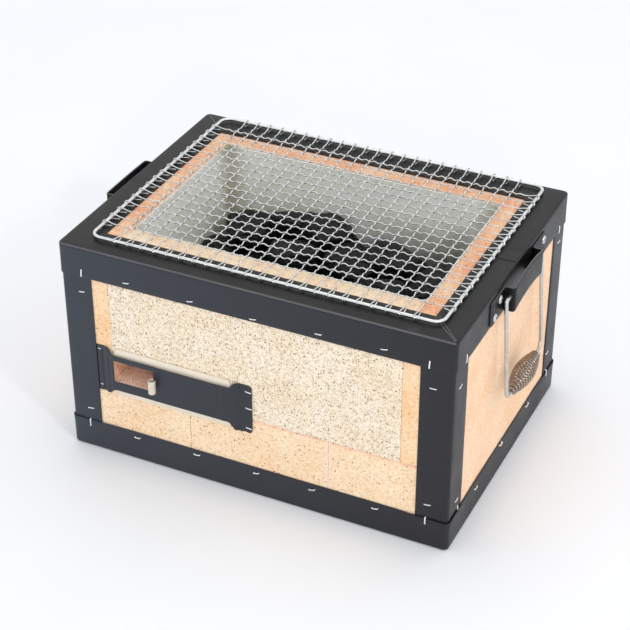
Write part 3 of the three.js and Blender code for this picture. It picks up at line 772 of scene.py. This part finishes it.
def face_staples(face, spots, seed):
    """Staples on a face: x or y across it, and z up it."""
    rng = random.Random(seed)
    sign = TURN[face]
    parts = []
    for across, up, way in spots:
        layered = not (BOTTOM_Z[1] < up < TOP_Z[0])
        inset = 0.0 if layered else ANGLE[0][1] - HALF_X
        if face in ("front", "back"):
            spot = Vector((across * sign, -(HALF_Y + inset) * sign, up))
            out, level = Vector((0, -sign, 0)), Vector((sign, 0, 0))
        else:
            spot = Vector(((HALF_X + inset) * sign, across * sign, up))
            out, level = Vector((sign, 0, 0)), Vector((0, sign, 0))
        along = Vector((0, 0, 1)) if way == "v" else level
        lean = rng.uniform(*LEAN[way])
        parts.append(staple_at(spot, along, out, CROWN[way] * rng.uniform(0.94, 1.06), lean))
    make(f"staples_{face}", *merged(parts), STAPLE_WIRE, "bright_wire")


# ---- clay blocks
def prism(outline, axis, span):
    """A bmesh prism: the outline lies across axis and runs over span along it."""
    bm = bmesh.new()
    ends = []
    for level in span:
        ring = []
        for u, v in outline:
            point = {"x": (level, u, v), "y": (u, level, v), "z": (u, v, level)}[axis]
            ring.append(bm.verts.new(point))
        ends.append(ring)
    bm.faces.new(ends[0])
    bm.faces.new(ends[1][::-1])
    count = len(outline)
    for i in range(count):
        j = (i + 1) % count
        bm.faces.new([ends[0][j], ends[0][i], ends[1][i], ends[1][j]])
    bmesh.ops.recalc_face_normals(bm, faces=bm.faces)
    return bm


def push(bm, depth):
    """Moves every vertex along its normal by what depth says of it."""
    bm.normal_update()
    moves = [(v, v.normal * depth(v)) for v in bm.verts]
    for v, move in moves:
        v.co += move


ROUNDING, CELL, CHIP = 0.25, 5.5, 0.3


def weather(bm, seed):
    """Rounds the edges of a block, cuts its faces into cells, and roughens and chips it."""
    bmesh.ops.bevel(bm, geom=bm.edges[:], offset=ROUNDING, segments=2, affect="EDGES", profile=0.6)
    lows = [min(v.co[i] for v in bm.verts) for i in range(3)]
    highs = [max(v.co[i] for v in bm.verts) for i in range(3)]
    for axis in range(3):
        normal = Vector([float(i == axis) for i in range(3)])
        count = ceil((highs[axis] - lows[axis]) / CELL)
        for k in range(1, count):
            at = lows[axis] + (highs[axis] - lows[axis]) * k / count
            geometry = bm.verts[:] + bm.edges[:] + bm.faces[:]
            bmesh.ops.bisect_plane(bm, geom=geometry, plane_co=normal * at, plane_no=normal)

    def depth(v):
        around = [f.normal for f in v.link_faces]
        p = v.co
        deep = ripple(p.x, p.y, p.z, 14, 0.16, seed) + ripple(p.x, p.y, p.z, 3.1, 0.07, seed + 5)
        if min((a.dot(b) for a in around for b in around), default=1.0) < 0.97:
            deep -= CHIP * max(0.0, noise.noise(p / 6.5 + Vector((seed, 0, 0))) + 0.12)
            deep -= 2.2 * CHIP * max(0.0, noise.noise(p / 15 + Vector((0, seed, 0))) - 0.3)
        return deep

    push(bm, depth)


def block(name, outline, axis, span, seed, rule, finishes, slot, sign=1):
    """A weathered block; rule picks a face's finish from its middle and direction. Those that
    run along x are turned to their end of the body."""
    bm = prism(outline, axis, span)
    weather(bm, seed)
    if axis == "x":
        for v in bm.verts:
            v.co = Vector((sign * v.co.x, sign * v.co.y, v.co.z))
        bm.normal_update()
    for f in bm.faces:
        f.material_index = rule(f.calc_center_median(), f.normal)
    from_bmesh(f"clay_{name}", bm, finishes, slot, [name], 50)


def rectangle(u, v):
    return [(u[0], v[0]), (u[1], v[0]), (u[1], v[1]), (u[0], v[1])]


SNUG = 0.2
PORT_RIGHT, PORT_HIGH = extent("air_door_slider")[0][0] + 3.4, 90.0


def long_wall(name, sign):
    """The front wall, with the air port cut from its lower left corner, or the back wall."""
    x, z = (FRONT[0][0] - SNUG, FRONT[0][1] + SNUG), (FRONT[2][0] - SNUG / 2, FRONT[2][1])
    outline, span, seed, rim = rectangle(x, z), (CAVITY_Y, CLAY_Y), 4, RIM_CLAY
    if sign > 0:
        outline = [(PORT_RIGHT, z[0]), (x[1], z[0]), (x[1], z[1]), (x[0], z[1])]
        outline += [(x[0], PORT_HIGH), (PORT_RIGHT, PORT_HIGH)]
        span, seed, rim = FRONT[1], 2, FRONT_RIM_CLAY

    def rule(c, n):
        if n.z > 0.7:
            return 1
        inside = sign > 0 and c.z < PORT_HIGH + 1 and c.x < PORT_RIGHT + 1
        return 2 if inside and abs(n.y) < 0.7 else 0

    block(name, outline, "y", span, seed, rule, [FRONT_CLAY, rim, PORT_CLAY], "front_clay")


def end_wall(name, sign):
    """An end wall: its sawn ends show at both sides of the front, over the lower course."""
    foot, step, y, z = COURSE_FOOT, FRONT[2][0], WALL_Y, WALL_Z
    outline = [(-foot, z[0]), (foot, z[0]), (foot, step), (y[1], step), (y[1], z[1])]
    outline += [(y[0], z[1]), (y[0], step), (-foot, step)]

    def rule(c, n):
        if n.z > 0.7:
            return 1
        if abs(n.y) > 0.7:
            return 2
        return 3 if abs(c.x) < WALL_X[0] + 1 and c.z < 96 else 0

    finishes = [SIDE_CLAY, RIM_CLAY, STRIP_CLAY, PORT_CLAY]
    seed = 6 if sign > 0 else 8
    block(name, outline, "x", WALL_X, seed, rule, finishes, "side_clay", sign)


def brick(name, seed):
    x, y, z = extent(name)
    x = (max(x[0] - SNUG, -WALL_X[1]), min(x[1] + SNUG, WALL_X[1]))
    outline, clays = rectangle(x, (z[0], z[1] + SNUG / 2)), [LOWER_CLAY, PORT_FLOOR]
    block(name, outline, "y", y, seed, lambda c, n: int(n.z > 0.7), clays, "front_clay")


def lining():
    """The tapered fire lining, one ring with rounded inner corners and a thin top edge."""
    (x0, x1), (y0, y1), (z0, z1) = LINING
    foot, lip, radius = 6.0, 0.9, 5.0

    def plan(inset):
        points = round_rectangle((x1 - inset, y1 - inset), radius, 5)
        made = []
        for a, b in zip(points, points[1:] + points[:1]):
            across = a[1] * b[1] > 0 and abs(a[1] - b[1]) < 1
            count = (44 if across else 28) if dist(a, b) > 12 else 1
            for k in range(count):
                made.append((a[0] + (b[0] - a[0]) * k / count, a[1] + (b[1] - a[1]) * k / count))
        return made

    outer = plan(0.02)
    rows = [[(*p, z1) for p in outer]]
    for z in spread([z1, z0], 5):
        inset = foot + (lip - foot) * (z - z0) / (z1 - z0)
        row = []
        for x, y in plan(inset):
            bump = ripple(x, y, z, 22, 0.5, 13) + ripple(x, y, z, 6, 0.16, 17)
            pull = 1 + bump / 110
            top = 0.35 * abs(ripple(x, y, 0, 8, 1, 19)) if z == z1 else 0
            row.append((x * pull, y * pull, z - top))
        rows.append(row)
    rows.append([(*p, z0) for p in outer])
    columns = len(rows[0])
    faces = grid_faces(len(rows), columns, wrap=True)
    last = (len(rows) - 1) * columns
    faces += [[last + j, last + (j + 1) % columns, (j + 1) % columns, j] for j in range(columns)]
    nodes = [f"lining_{side}" for side in ("left", "right", "front", "back")]
    make("lining", [p for r in rows for p in r], faces, LINING_CLAY, "lining_clay", nodes, 60)


# ---- charcoal
LUMP_POINTS = 26
LINING_FOOT = 7.2


def lump(number, centre, size, yaw, tilt, node=None):
    """One lump of charcoal: a broken convex block, split into facets and roughened."""
    seed = 100 + number
    rng = random.Random(seed)
    bm = bmesh.new()
    for _ in range(LUMP_POINTS):
        u = Vector([rng.uniform(-1, 1) for _ in range(3)])
        u = u / max(abs(c) for c in u) * rng.uniform(0.86, 1.0)
        u = u.lerp(u.normalized() * 1.1, rng.uniform(0.2, 0.7))
        bm.verts.new(Vector((u.x * size[0] / 2, u.y * size[1] / 2, u.z * size[2] / 2)))
    hull = bmesh.ops.convex_hull(bm, input=bm.verts)
    inside = [g for g in hull["geom_interior"] if isinstance(g, bmesh.types.BMVert)]
    bmesh.ops.delete(bm, geom=inside, context="VERTS")
    bmesh.ops.bevel(bm, geom=bm.edges[:], offset=0.7, segments=1, affect="EDGES")
    bmesh.ops.triangulate(bm, faces=bm.faces[:])
    for _ in range(2):
        long_edges = [e for e in bm.edges if e.calc_length() > 3.4]
        bmesh.ops.subdivide_edges(bm, edges=long_edges, cuts=1, use_grid_fill=True)
        bmesh.ops.triangulate(bm, faces=bm.faces[:])

    def depth(v):
        p = v.co
        grain = ripple(p.x * 0.35, p.y, p.z, 3.2, 0.55, seed)
        step = 0.9 * noise.noise(Vector((p.x / 11, p.y / 7, p.z / 7 + seed)))
        crack = -1.3 * max(0.0, abs(noise.noise(p / 8 + Vector((0, seed, 0)))) * -9 + 1)
        return grain + step + crack

    push(bm, depth)
    turn = Matrix.Rotation(radians(yaw), 3, "Z") @ Matrix.Rotation(radians(tilt), 3, "X")
    limit_x, limit_y = LINING[0][1] - LINING_FOOT, LINING[1][1] - LINING_FOOT
    for v in bm.verts:
        v.co = turn @ v.co + Vector(centre)
        v.co.x = max(-limit_x, min(limit_x, v.co.x))
        v.co.y = max(-limit_y, min(limit_y, v.co.y))
        v.co.z = max(v.co.z, GRATE[2][1] + 0.2)
    nodes = [node] if node else []
    from_bmesh(f"charcoal_lump_{number:02d}", bm, CHARCOAL, "charcoal", nodes, 24)


# The upper lumps: place, height of the top, size and turn.
HEAP = [
    (-44, 47, 43, 52, 34, 24, 12), (-12, 45, 47, 50, 36, 24, -20), (-30, 14, 38, 46, 34, 24, 32),
    (16, 24, 38, 46, 36, 26, -8), (48, 34, 43, 48, 36, 26, 18), (-2, -18, 32, 48, 32, 22, -34),
    (54, -10, 38, 48, 38, 24, 24), (-42, -16, 29, 46, 32, 22, 8), (86, 14, 38, 40, 44, 24, -12),
    (-76, 36, 38, 42, 38, 24, 30), (22, -44, 29, 46, 32, 20, 12), (82, -36, 31, 42, 36, 20, -24),
]


def charcoal_bed():
    """A bed that fills the grate, and a heap on it. The first of each take CAD lumps' place."""
    rng = random.Random(41)
    number, floor = 0, GRATE[2][1]
    columns, rows, bed_nodes, heap_nodes = 6, 4, 8, 3
    for j in range(rows):
        for i in range(columns):
            x = -90 + 180 * i / (columns - 1) + rng.uniform(-4, 4) + (5 if j % 2 else -5)
            y = -50 + 100 * j / (rows - 1) + rng.uniform(-3, 3)
            size = (rng.uniform(36, 48), rng.uniform(28, 36), rng.uniform(23, 31))
            number += 1
            node = f"charcoal_{number}" if number <= bed_nodes else None
            centre = (x, y, floor + size[2] / 2)
            lump(number, centre, size, rng.uniform(-28, 28), rng.uniform(-9, 9), node)
    for order, (x, y, lift, sx, sy, sz, yaw) in enumerate(HEAP, 1):
        number += 1
        node = f"charcoal_{bed_nodes + order}" if order <= heap_nodes else None
        centre = (x, y, floor + lift - sz / 2 + 6)
        lump(number, centre, (sx, sy, sz), yaw, (number % 5 - 2) * 5, node)


# ---- air door
def plate():
    """The pale backing plate: a hole over the port, and both ends drawn in towards its upper and
    lower edges.
    """
    x, z = PLATE[0], (PLATE[2][0] - 1.2, PLATE[2][1])
    face = PLATE[1][1] - 0.5
    hole_x, hole_z = (STRIP[0][0] + 12.0, SLIDER[0][0] + 3.0), (66.0, 88.6)
    xs = spread([x[0], hole_x[0], hole_x[1], x[1]], 6)
    zs = spread([z[0], hole_z[0], hole_z[1], z[1]], 5)
    slant, end = 5.5, 8

    def point(px, pz):
        """Both ends are drawn in towards the plate's upper and lower edges."""
        t = (pz - z[0]) / (z[1] - z[0])
        lean = slant * (abs(t - 0.5) * 2) ** 2
        from_left, from_right = px - x[0], x[1] - px
        qx = px + lean * (max(0.0, 1 - from_left / end) - max(0.0, 1 - from_right / end))
        return (qx, face + ripple(px, 0, pz, 30, 0.12, 23), pz)

    vertices = [point(px, pz) for pz in zs for px in xs]

    def keep(i, j):
        cx, cz = (xs[j] + xs[j + 1]) / 2, (zs[i] + zs[i + 1]) / 2
        return not (hole_x[0] < cx < hole_x[1] and hole_z[0] < cz < hole_z[1])

    faces = grid_faces(len(zs), len(xs), keep=keep)
    obj = make("door_plate", vertices, faces, PALE_STEEL, "pale_steel", ["air_door_plate"])
    fold_sheet(obj, 0.5, 0.12)


TAB_REACH = 1.4
CREASE = STRIP[0][1] - 23.8
NECK_Z = (61.0, 91.2)
WINDOW_Z = (68.5, 87.1)


def strip_edges(x):
    """The guide strip's lower and upper edge at x: tall tabs and shoulders to a narrow neck."""
    left, right = STRIP[0]
    tab_low, tab_high = STRIP[2][0], STRIP[2][1] - 1.2
    if x < (left + right) / 2:
        drop = smooth((x - left - 8.2) / 5.6)
        low = tab_low + 1.2 + (NECK_Z[0] - tab_low - 1.2) * drop
        high = tab_high + (NECK_Z[1] - tab_high) * drop
        return low, high
    rise = smooth((x - right + 19) / 6.4)
    low = NECK_Z[0] + (tab_low - NECK_Z[0]) * rise
    high = NECK_Z[1] + (tab_high - NECK_Z[1]) * rise
    corner = 3.0
    if x > right - corner:
        away = corner - sqrt(max(0.0, corner**2 - (x - right + corner) ** 2))
        low, high = low + away, high - away
    wave = 0.35 * sin(x * 0.9)
    return low + (wave if rise >= 1 else 0), high


def strip_depth(x):
    """How far in front of the clay the strip's outer face runs at x."""
    left, right = STRIP[0]
    tab = -CLAY_Y - GAP - SHEET
    neck = STRIP[1][0]
    if x < (left + right) / 2:
        rise = smooth((x - left - 6.2) / 6.6)
        fold = 0.9 * exp(-(((x - left - 7.6) / 1.5) ** 2))
        groove = 0.7 * exp(-(((x - left - 3.6) / 0.8) ** 2))
        return tab + (neck - tab) * rise - fold + groove
    crease = 0.25 * exp(-(((x - CREASE) / 0.5) ** 2))
    return tab + (neck - tab) * smooth((right - 9.6 - x) / 3.4) - crease


def strip():
    """The guide strip with its window; its lower edge is tucked under along the neck."""
    left, right = STRIP[0]
    window_x = (left + 13.5, SLIDER[0][0] + 3.1)
    xs = spread([left - TAB_REACH, left + 2.4], 1.2) + spread([left + 2.8, window_x[0]], 0.6)
    xs += spread([window_x[0], window_x[1], CREASE - 1.2], 5)[1:]
    xs += spread([CREASE - 0.9, CREASE + 0.9], 0.3)
    xs += spread([right - 19.4, right - 8.6], 0.8) + spread([right - 6, right - 3], 1.5)
    xs += [right - 2.2, right - 1.4, right - 0.8, right - 0.35, right]
    vertices, rows, window_rows = [], 12, range(4, 8)
    for x in xs:
        low, high = strip_edges(x)
        y = strip_depth(x)
        neck = smooth((x - left - 10) / 4) * smooth((right - 13 - x) / 4)
        lip = 0.2 + 0.9 * neck
        zs = [low - lip] + [low + (WINDOW_Z[0] - low) * f for f in (0, 0.25, 0.6, 1.0)]
        zs += [WINDOW_Z[0] + (WINDOW_Z[1] - WINDOW_Z[0]) * f for f in (0.25, 0.5, 0.75, 1.0)]
        zs += [WINDOW_Z[1] + (high - WINDOW_Z[1]) * f for f in (0.4, 0.75, 1.0)]
        for z in zs:
            tuck = 1.5 * neck if z < low else 0.0
            loose = 0.25 * max(0.0, abs(z - 78) / 21) ** 3 if x > right - 10 else 0.0
            face = y - loose * abs(sin(z * 0.45)) - ripple(x, 0, z, 20, 0.08, 29)
            vertices.append((x, face + tuck, z))

    def keep(i, j):
        middle = (xs[i] + xs[i + 1]) / 2
        return not (window_x[0] < middle < window_x[1] and j in window_rows)

    faces = grid_faces(len(xs), rows, keep=keep, flip=True)
    # The tucked lip and the tab's edge against the post are painted shade.
    marks = []
    for f in faces:
        tucked = min(i % rows for i in f) == 0 and left + 12 < vertices[f[0]][0] < right - 15
        at_post = max(vertices[i][0] for i in f) < left - TAB_REACH + 1.3
        marks.append(1 if tucked or at_post else 0)
    steels = [BLACK_STEEL, SHADE_BLACK]
    obj = make(
        "door_strip", vertices, faces, steels, "black_steel", ["air_door_strip"], 30, marks=marks
    )
    fold_sheet(obj, SHEET, 0.14)


def slider():
    """The sliding shutter: a flat sheet with its left edge rolled out into a finger tab."""
    edge, radius, roll_z = SLIDER[0][0] + 3.6, 2.3, (70.8, 82.0)
    centre = (edge + 0.3, SLIDER[1][0] + radius + 0.3)
    profile = arc(centre, radius, 90 + 300, 90, 26)
    levels = spread([roll_z[0], roll_z[1]], 3)
    roll = [(px, py, pz) for pz in levels for px, py in profile]
    xs, zs = spread([centre[0] + 0.1, SLIDER[0][1]], 6), spread([*SLIDER[2]], 5)
    sheet = [(px, SLIDER[1][1] - SHEET, pz) for pz in zs for px in xs]
    parts = [(roll, grid_faces(len(levels), len(profile))), (sheet, grid_faces(len(zs), len(xs)))]
    node = ["air_door_slider"]
    obj = make("door_slider", *merged(parts), TAB_STEEL, "pale_steel", node, body="air_slider")
    fold_sheet(obj, SHEET, 0.12)


def strip_staples():
    """The staples through the strip's tabs, three at its right end and two at its left."""
    rng = random.Random(5)
    for i in range(5):
        node = f"strip_staple_{i + 1}"
        x, y, z = extent(node)
        spot = Vector(((x[0] + x[1]) / 2, strip_depth((x[0] + x[1]) / 2), (z[0] + z[1]) / 2))
        right_side = spot.x > -60
        crown = x[1] - x[0] - (0.0 if right_side else 1.8)
        spot.x += 0.8 if right_side else -2.2
        spot.z -= 2.6 if right_side else 0.4
        across, out, lean = Vector((1, 0, 0)), Vector((0, -1, 0)), rng.uniform(-12, -4)
        staple = staple_at(spot, across, out, crown, lean, 0.3, 2.4)
        make(f"door_staple_{i + 1}", *staple, STAPLE_WIRE, "bright_wire", [node])


# ---- handles
BRACKET_SHEET = 1.2
STRAP_HALF = 29.9
ARCH = {"right": 3.2, "left": 0.4}


def bracket(side):
    """The folded bracket: riveted flanges, end walls that hold the bail, and an arched strap."""
    out = BRACKET[0][1]
    seat = HALF_X + GAP + BRACKET_SHEET
    end, half = (BRACKET[1][1] - BRACKET[1][0]) / 2, STRAP_HALF
    low, high = BRACKET[2]
    corners = [(seat, -end), (seat, -half), (out, -half), (out, half), (seat, half), (seat, end)]
    plan = rounded([Vector((a, b, 0)) for a, b in corners], [1.2, 2.6, 2.6, 1.2], 6)
    plan = densified(plan, 4)
    rows = 7
    vertices = []
    for p in plan:
        share = min(1.0, abs(p.y) / half)
        lift = ARCH[side] * (1 - share**2)
        tip = smooth((abs(p.y) - end + 1.0) / 1.0) ** 2
        bottom = low + lift + 0.4 * tip
        top = high - 1.0 + 1.2 * lift - 0.4 * tip
        for r in range(rows):
            t = r / (rows - 1)
            wave = ripple(p.x, p.y, t * 9, 14, 0.12, 31)
            vertices.append((p.x + wave, p.y + HANDLE_Y, bottom + (top - bottom) * t))
    arch = turned((vertices, grid_faces(len(plan), rows, flip=True)), TURN[side])
    steels, node = [BRACKET_STEEL, HIGHLIGHT_STEEL], [f"bracket_{side}"]
    obj = make(f"bracket_arch_{side}", *arch, steels, "bracket_steel", node, 35)
    fold_sheet(obj, BRACKET_SHEET, 0.25)
    # Painted highlight: the sheet's cut edges take the paler highlight steel.
    obj.modifiers[0].material_offset_rim = 1


RIVET_SIDES = 20
# (radius, height) out from under the flange, over the dome and down into the hole.
RIVET = [
    (1.6, -1.6), (1.6, -0.05), (3.1, -0.05), (3.25, 0.12), (3.2, 0.4), (2.8, 0.85),
    (2.1, 1.2), (1.3, 1.35), (1.05, 1.3), (0.95, 1.0), (0.9, 0.55),
]
HOLE_FROM = 8


def rivets(side):
    """Blind rivets: a domed flange with the broken stem in the hole at its middle."""
    sign = TURN[side]
    grid = len(RIVET), RIVET_SIDES
    for i in range(4):
        node = f"rivet_{side}_{i + 1}"
        _, y, z = extent(node)
        seat, y, z = HALF_X + GAP + BRACKET_SHEET, (y[0] + y[1]) / 2, (z[0] + z[1]) / 2
        vertices = []
        for radius, height in RIVET:
            for k in range(RIVET_SIDES):
                a = 2 * pi * k / RIVET_SIDES
                across, up = radius * cos(a), radius * sin(a)
                vertices.append((sign * (seat + height), y + across, z + up))
        ends = caps(*grid)
        faces = grid_faces(*grid, wrap=True, flip=sign > 0)
        faces += ends if sign < 0 else [f[::-1] for f in ends]
        # The hole's walls and the stem's end are painted shade.
        marks = [int(k >= HOLE_FROM * RIVET_SIDES) for k in range(len(faces))]
        marks[-2] = 0
        metals = [RIVET_METAL, SHADE_BLACK]
        make(f"blind_{node}", vertices, faces, metals, "bright_wire", [node], marks=marks)


WIRE = 1.5
GRIP_HALF = 27.5


def bail(side):
    """The wire bail: hooked into the bracket's end walls, down two legs and across."""
    end, half = STRAP_HALF - 2.7, (BAIL[1][1] - BAIL[1][0]) / 2 - WIRE
    top = Vector((PIVOT.x, 0, PIVOT.z))
    foot = Vector((GRIP_AXIS.x, 0, GRIP_AXIS.z))
    ways = ((-end, 0), (-half, 0), (-half, 1), (half, 1), (half, 0), (end, 0))
    corners = [top.lerp(foot, down) + Vector((0, y + HANDLE_Y, 0)) for y, down in ways]
    points = densified(rounded(corners, [3.0, 7.0, 9.0, 3.0], 9), 6)
    wire, name = turned(tube(points, WIRE, 14), TURN[side]), f"bail_{side}"
    make(f"bail_wire_{side}", *wire, BAIL_WIRE, "bright_wire", [name], 60, name)


def grip(side):
    """The barrel-shaped coil that turns on the bail."""
    turns, steps, end_radius, wire = 17, 26, 2.6, 0.72
    middle = (GRIP[0][1] - GRIP[0][0]) / 2 - wire
    points = []
    for i in range(turns * steps + 1):
        t = i / (turns * steps)
        angle = 2 * pi * turns * t
        radius = end_radius + (middle - end_radius) * sin(pi * t) ** 1.15
        x, z = GRIP_AXIS.x + radius * cos(angle), GRIP_AXIS.z + radius * sin(angle)
        points.append((x, GRIP_HALF * (2 * t - 1) + HANDLE_Y, z))
    coil, name = turned(tube(points, wire, 9), TURN[side]), f"grip_{side}"
    make(f"grip_coil_{side}", *coil, GRIP_WIRE, "bright_wire", [name], 60, name)


# ---- net
NET_WIRE_RADIUS = 0.52
RIM_RADIUS = 1.32
RIM_CORNER = 9.0
RIM_Z = HEIGHT + 2 * NET_WIRE_RADIUS + RIM_RADIUS + 0.1
MESH_Z = RIM_Z - 0.1
PITCH = 10.6
MARGIN = 20.0
WAVE = 0.6
MESH_SHIFT = 1.4
TAIL, TAIL_SHIFT = 6.5, 1.5
STEPS = 12


def net():
    """A crimped mesh: three half-waves to a cell, and every wire's end hooked round the rim."""
    (x0, x1), (y0, y1), _ = NET
    middle = Vector(((x0 + x1) / 2, (y0 + y1) / 2 - 1.2))
    half = Vector((x1 - x0, y1 - y0)) / 2 - Vector((RIM_RADIUS, RIM_RADIUS))
    rim = [(*p, RIM_Z) for p in round_rectangle(half, RIM_CORNER - RIM_RADIUS, 8, middle)]
    wire = tube(rim, RIM_RADIUS, 12, closed=True)
    make("net_rim", *wire, RIM_WIRE, "bright_wire", sharp=60, body="net")
    parts = []
    counts = [1 + int((2 * (h + RIM_RADIUS) - 2 * MARGIN) / PITCH) for h in half]
    for direction in (0, 1):
        along, across = 1 - direction, direction
        crossings = (counts[along] - 1) / 2 * PITCH
        for i in range(counts[across]):
            place = (i - (counts[across] - 1) / 2) * PITCH + MESH_SHIFT * direction
            phase = (1 if i % 2 else -1) * (1 if direction == 0 else -1)
            parts.append(net_wire(direction, middle, place, half[along], crossings, phase))
    nodes = ["net_warp", "net_weft"]
    make("net_mesh", *merged(parts), NET_WIRE, "bright_wire", nodes, 60, "net")


def net_wire(direction, middle, place, reach, crossings, phase):
    """One wire. direction 0 runs from front to back and 1 from left to right."""
    hook = RIM_RADIUS + NET_WIRE_RADIUS
    aside = TAIL_SHIFT if direction == 0 else -TAIL_SHIFT

    def wrap(sign):
        """From the mesh over the rim, round its outside and back beneath it."""
        made = [(reach - 7, 0.0, MESH_Z + 0.1), (reach - 2.8, 0.0, RIM_Z + hook - 0.7)]
        for a in range(80, -91, -24):
            out, up = hook * cos(radians(a)), hook * sin(radians(a))
            made.append((reach + out, aside * (80 - a) / 170, RIM_Z + up))
        made.append((reach - 2.4, aside, RIM_Z - hook + 0.5))
        made.append((reach - TAIL, aside * 1.1, RIM_Z - hook + 1.5))
        return [(sign * s, side, z) for s, side, z in made]

    inner, ends = [], reach - 8
    total = int(2 * ends / PITCH * STEPS)
    for k in range(total + 1):
        s = -ends + 2 * ends * k / total
        inward = s - MESH_SHIFT * (direction == 0)
        beyond = max(0.0, abs(inward) - crossings - PITCH * 0.5)
        fade = max(0.0, 1 - beyond / 6)
        wave = WAVE * fade * phase * cos(3 * pi * (inward + crossings) / PITCH)
        inner.append((s, 0.0, MESH_Z + wave))
    made = []
    for s, side, z in wrap(-1)[::-1] + inner + wrap(1):
        x, y = (place + side, s) if direction == 0 else (s, place + side)
        made.append((middle.x + x, middle.y + y, z))
    return tube(made, NET_WIRE_RADIUS, 7)


# ---- the object
for kind in ("top", "bottom"):
    band(kind)
flange_laps()
for end in ("right", "left"):
    for sy, face in ((-1, "front"), (1, "back")):
        corner_angle(f"corner_angle_{face}_{end}", TURN[end], sy)
for k, face in enumerate(("front", "back", "right", "left")):
    face_staples(face, FRONT_STAPLES if k < 2 else RIGHT_STAPLES, 11 + k)
long_wall("front_wall", 1)
long_wall("back_wall", -1)
end_wall("end_wall_right", 1)
end_wall("end_wall_left", -1)
for face, first_seed in (("front", 20), ("back", 29)):
    for k, place in enumerate(("left", "middle", "right")):
        brick(f"{face}_brick_{place}", first_seed + 3 * k)
lining()
charcoal_bed()
plate()
strip()
slider()
strip_staples()
for side in ("right", "left"):
    bracket(side)
    rivets(side)
    bail(side)
    grip(side)
net()


def refinish(node, material, bevel):
    """A better finish and soft edges on a CAD node that stays."""
    obj = frame["nodes"][node]
    obj.data.materials.clear()
    obj.data.materials.append(material)
    soft_edge(obj, bevel)


refinish("grate", CAST_IRON, 0.5)
refinish("hearth_slab", PORT_FLOOR, 0.5)
refinish("grate_ledge_left", PORT_CLAY, 0.6)
refinish("grate_ledge_right", SIDE_CLAY, 0.6)

# ---- stage, light and camera


def floor():
    xs = np.linspace(-14, 14, 24)
    data = bpy.data.meshes.new("studio_floor")
    data.from_pydata([(x, y, -0.0002) for y in xs for x in xs], [], grid_faces(len(xs), len(xs)))
    data.materials.append(STUDIO_FLOOR)
    placed("studio_floor", data)


def softbox(name, direction, distance, side, power):
    """A square area light that faces the object from a direction."""
    data = bpy.data.lights.new(name, "AREA")
    data.size = side
    data.energy = power
    obj = placed(name, data)
    away = Vector(direction).normalized()
    obj.location = Vector((0, 0, HEIGHT / 2 * MM)) + away * distance
    obj.rotation_mode = "QUATERNION"
    obj.rotation_quaternion = away.to_track_quat("Z", "Y")


def world(horizon, zenith):
    """A pale studio, brightest round the horizon."""
    made = bpy.data.worlds.new("studio")
    made.use_nodes = True
    nodes, link = made.node_tree.nodes, made.node_tree.links.new
    background = nodes["Background"]
    split, level = nodes.new("ShaderNodeSeparateXYZ"), nodes.new("ShaderNodeMapRange")
    link(nodes.new("ShaderNodeTexCoord").outputs["Generated"], split.inputs[0])
    link(split.outputs["Z"], level.inputs["Value"])
    ends = {"From Min": 0.0, "From Max": 0.7, "To Min": horizon, "To Max": zenith}
    for name, value in ends.items():
        level.inputs[name].default_value = value
    link(level.outputs["Result"], background.inputs["Strength"])
    background.inputs["Color"].default_value = (0.985, 0.99, 1.0, 1.0)
    bpy.context.scene.world = made


CAMERA_AZIMUTH, CAMERA_ELEVATION = radians(25.34), radians(32.97)
CAMERA_PLACE = Vector((0.48341, -1.02451, 0.82821))
LENS = 101.1


def camera():
    data = bpy.data.cameras.new("camera")
    data.lens = LENS
    data.sensor_width = 36.0
    data.clip_start, data.clip_end = 0.05, 60
    obj = placed("camera", data)
    flat, up = cos(CAMERA_ELEVATION), sin(CAMERA_ELEVATION)
    back = Vector((sin(CAMERA_AZIMUTH) * flat, -cos(CAMERA_AZIMUTH) * flat, up))
    obj.location = CAMERA_PLACE
    obj.rotation_mode = "QUATERNION"
    obj.rotation_quaternion = (-back).to_track_quat("-Z", "Y")
    bpy.context.scene.camera = obj


floor()
world(1.14, 0.86)
softbox("key_side", (12.8, -8, 12), 2.2, 0.14, 5.6)
softbox("key_front", (12.8, -23, 12), 2.4, 0.16, 5.6)
softbox("overhead", (-0.1, 0.25, 1), 2.0, 1.8, 6)
camera()
bpy.context.scene.view_settings.view_transform = "Standard"
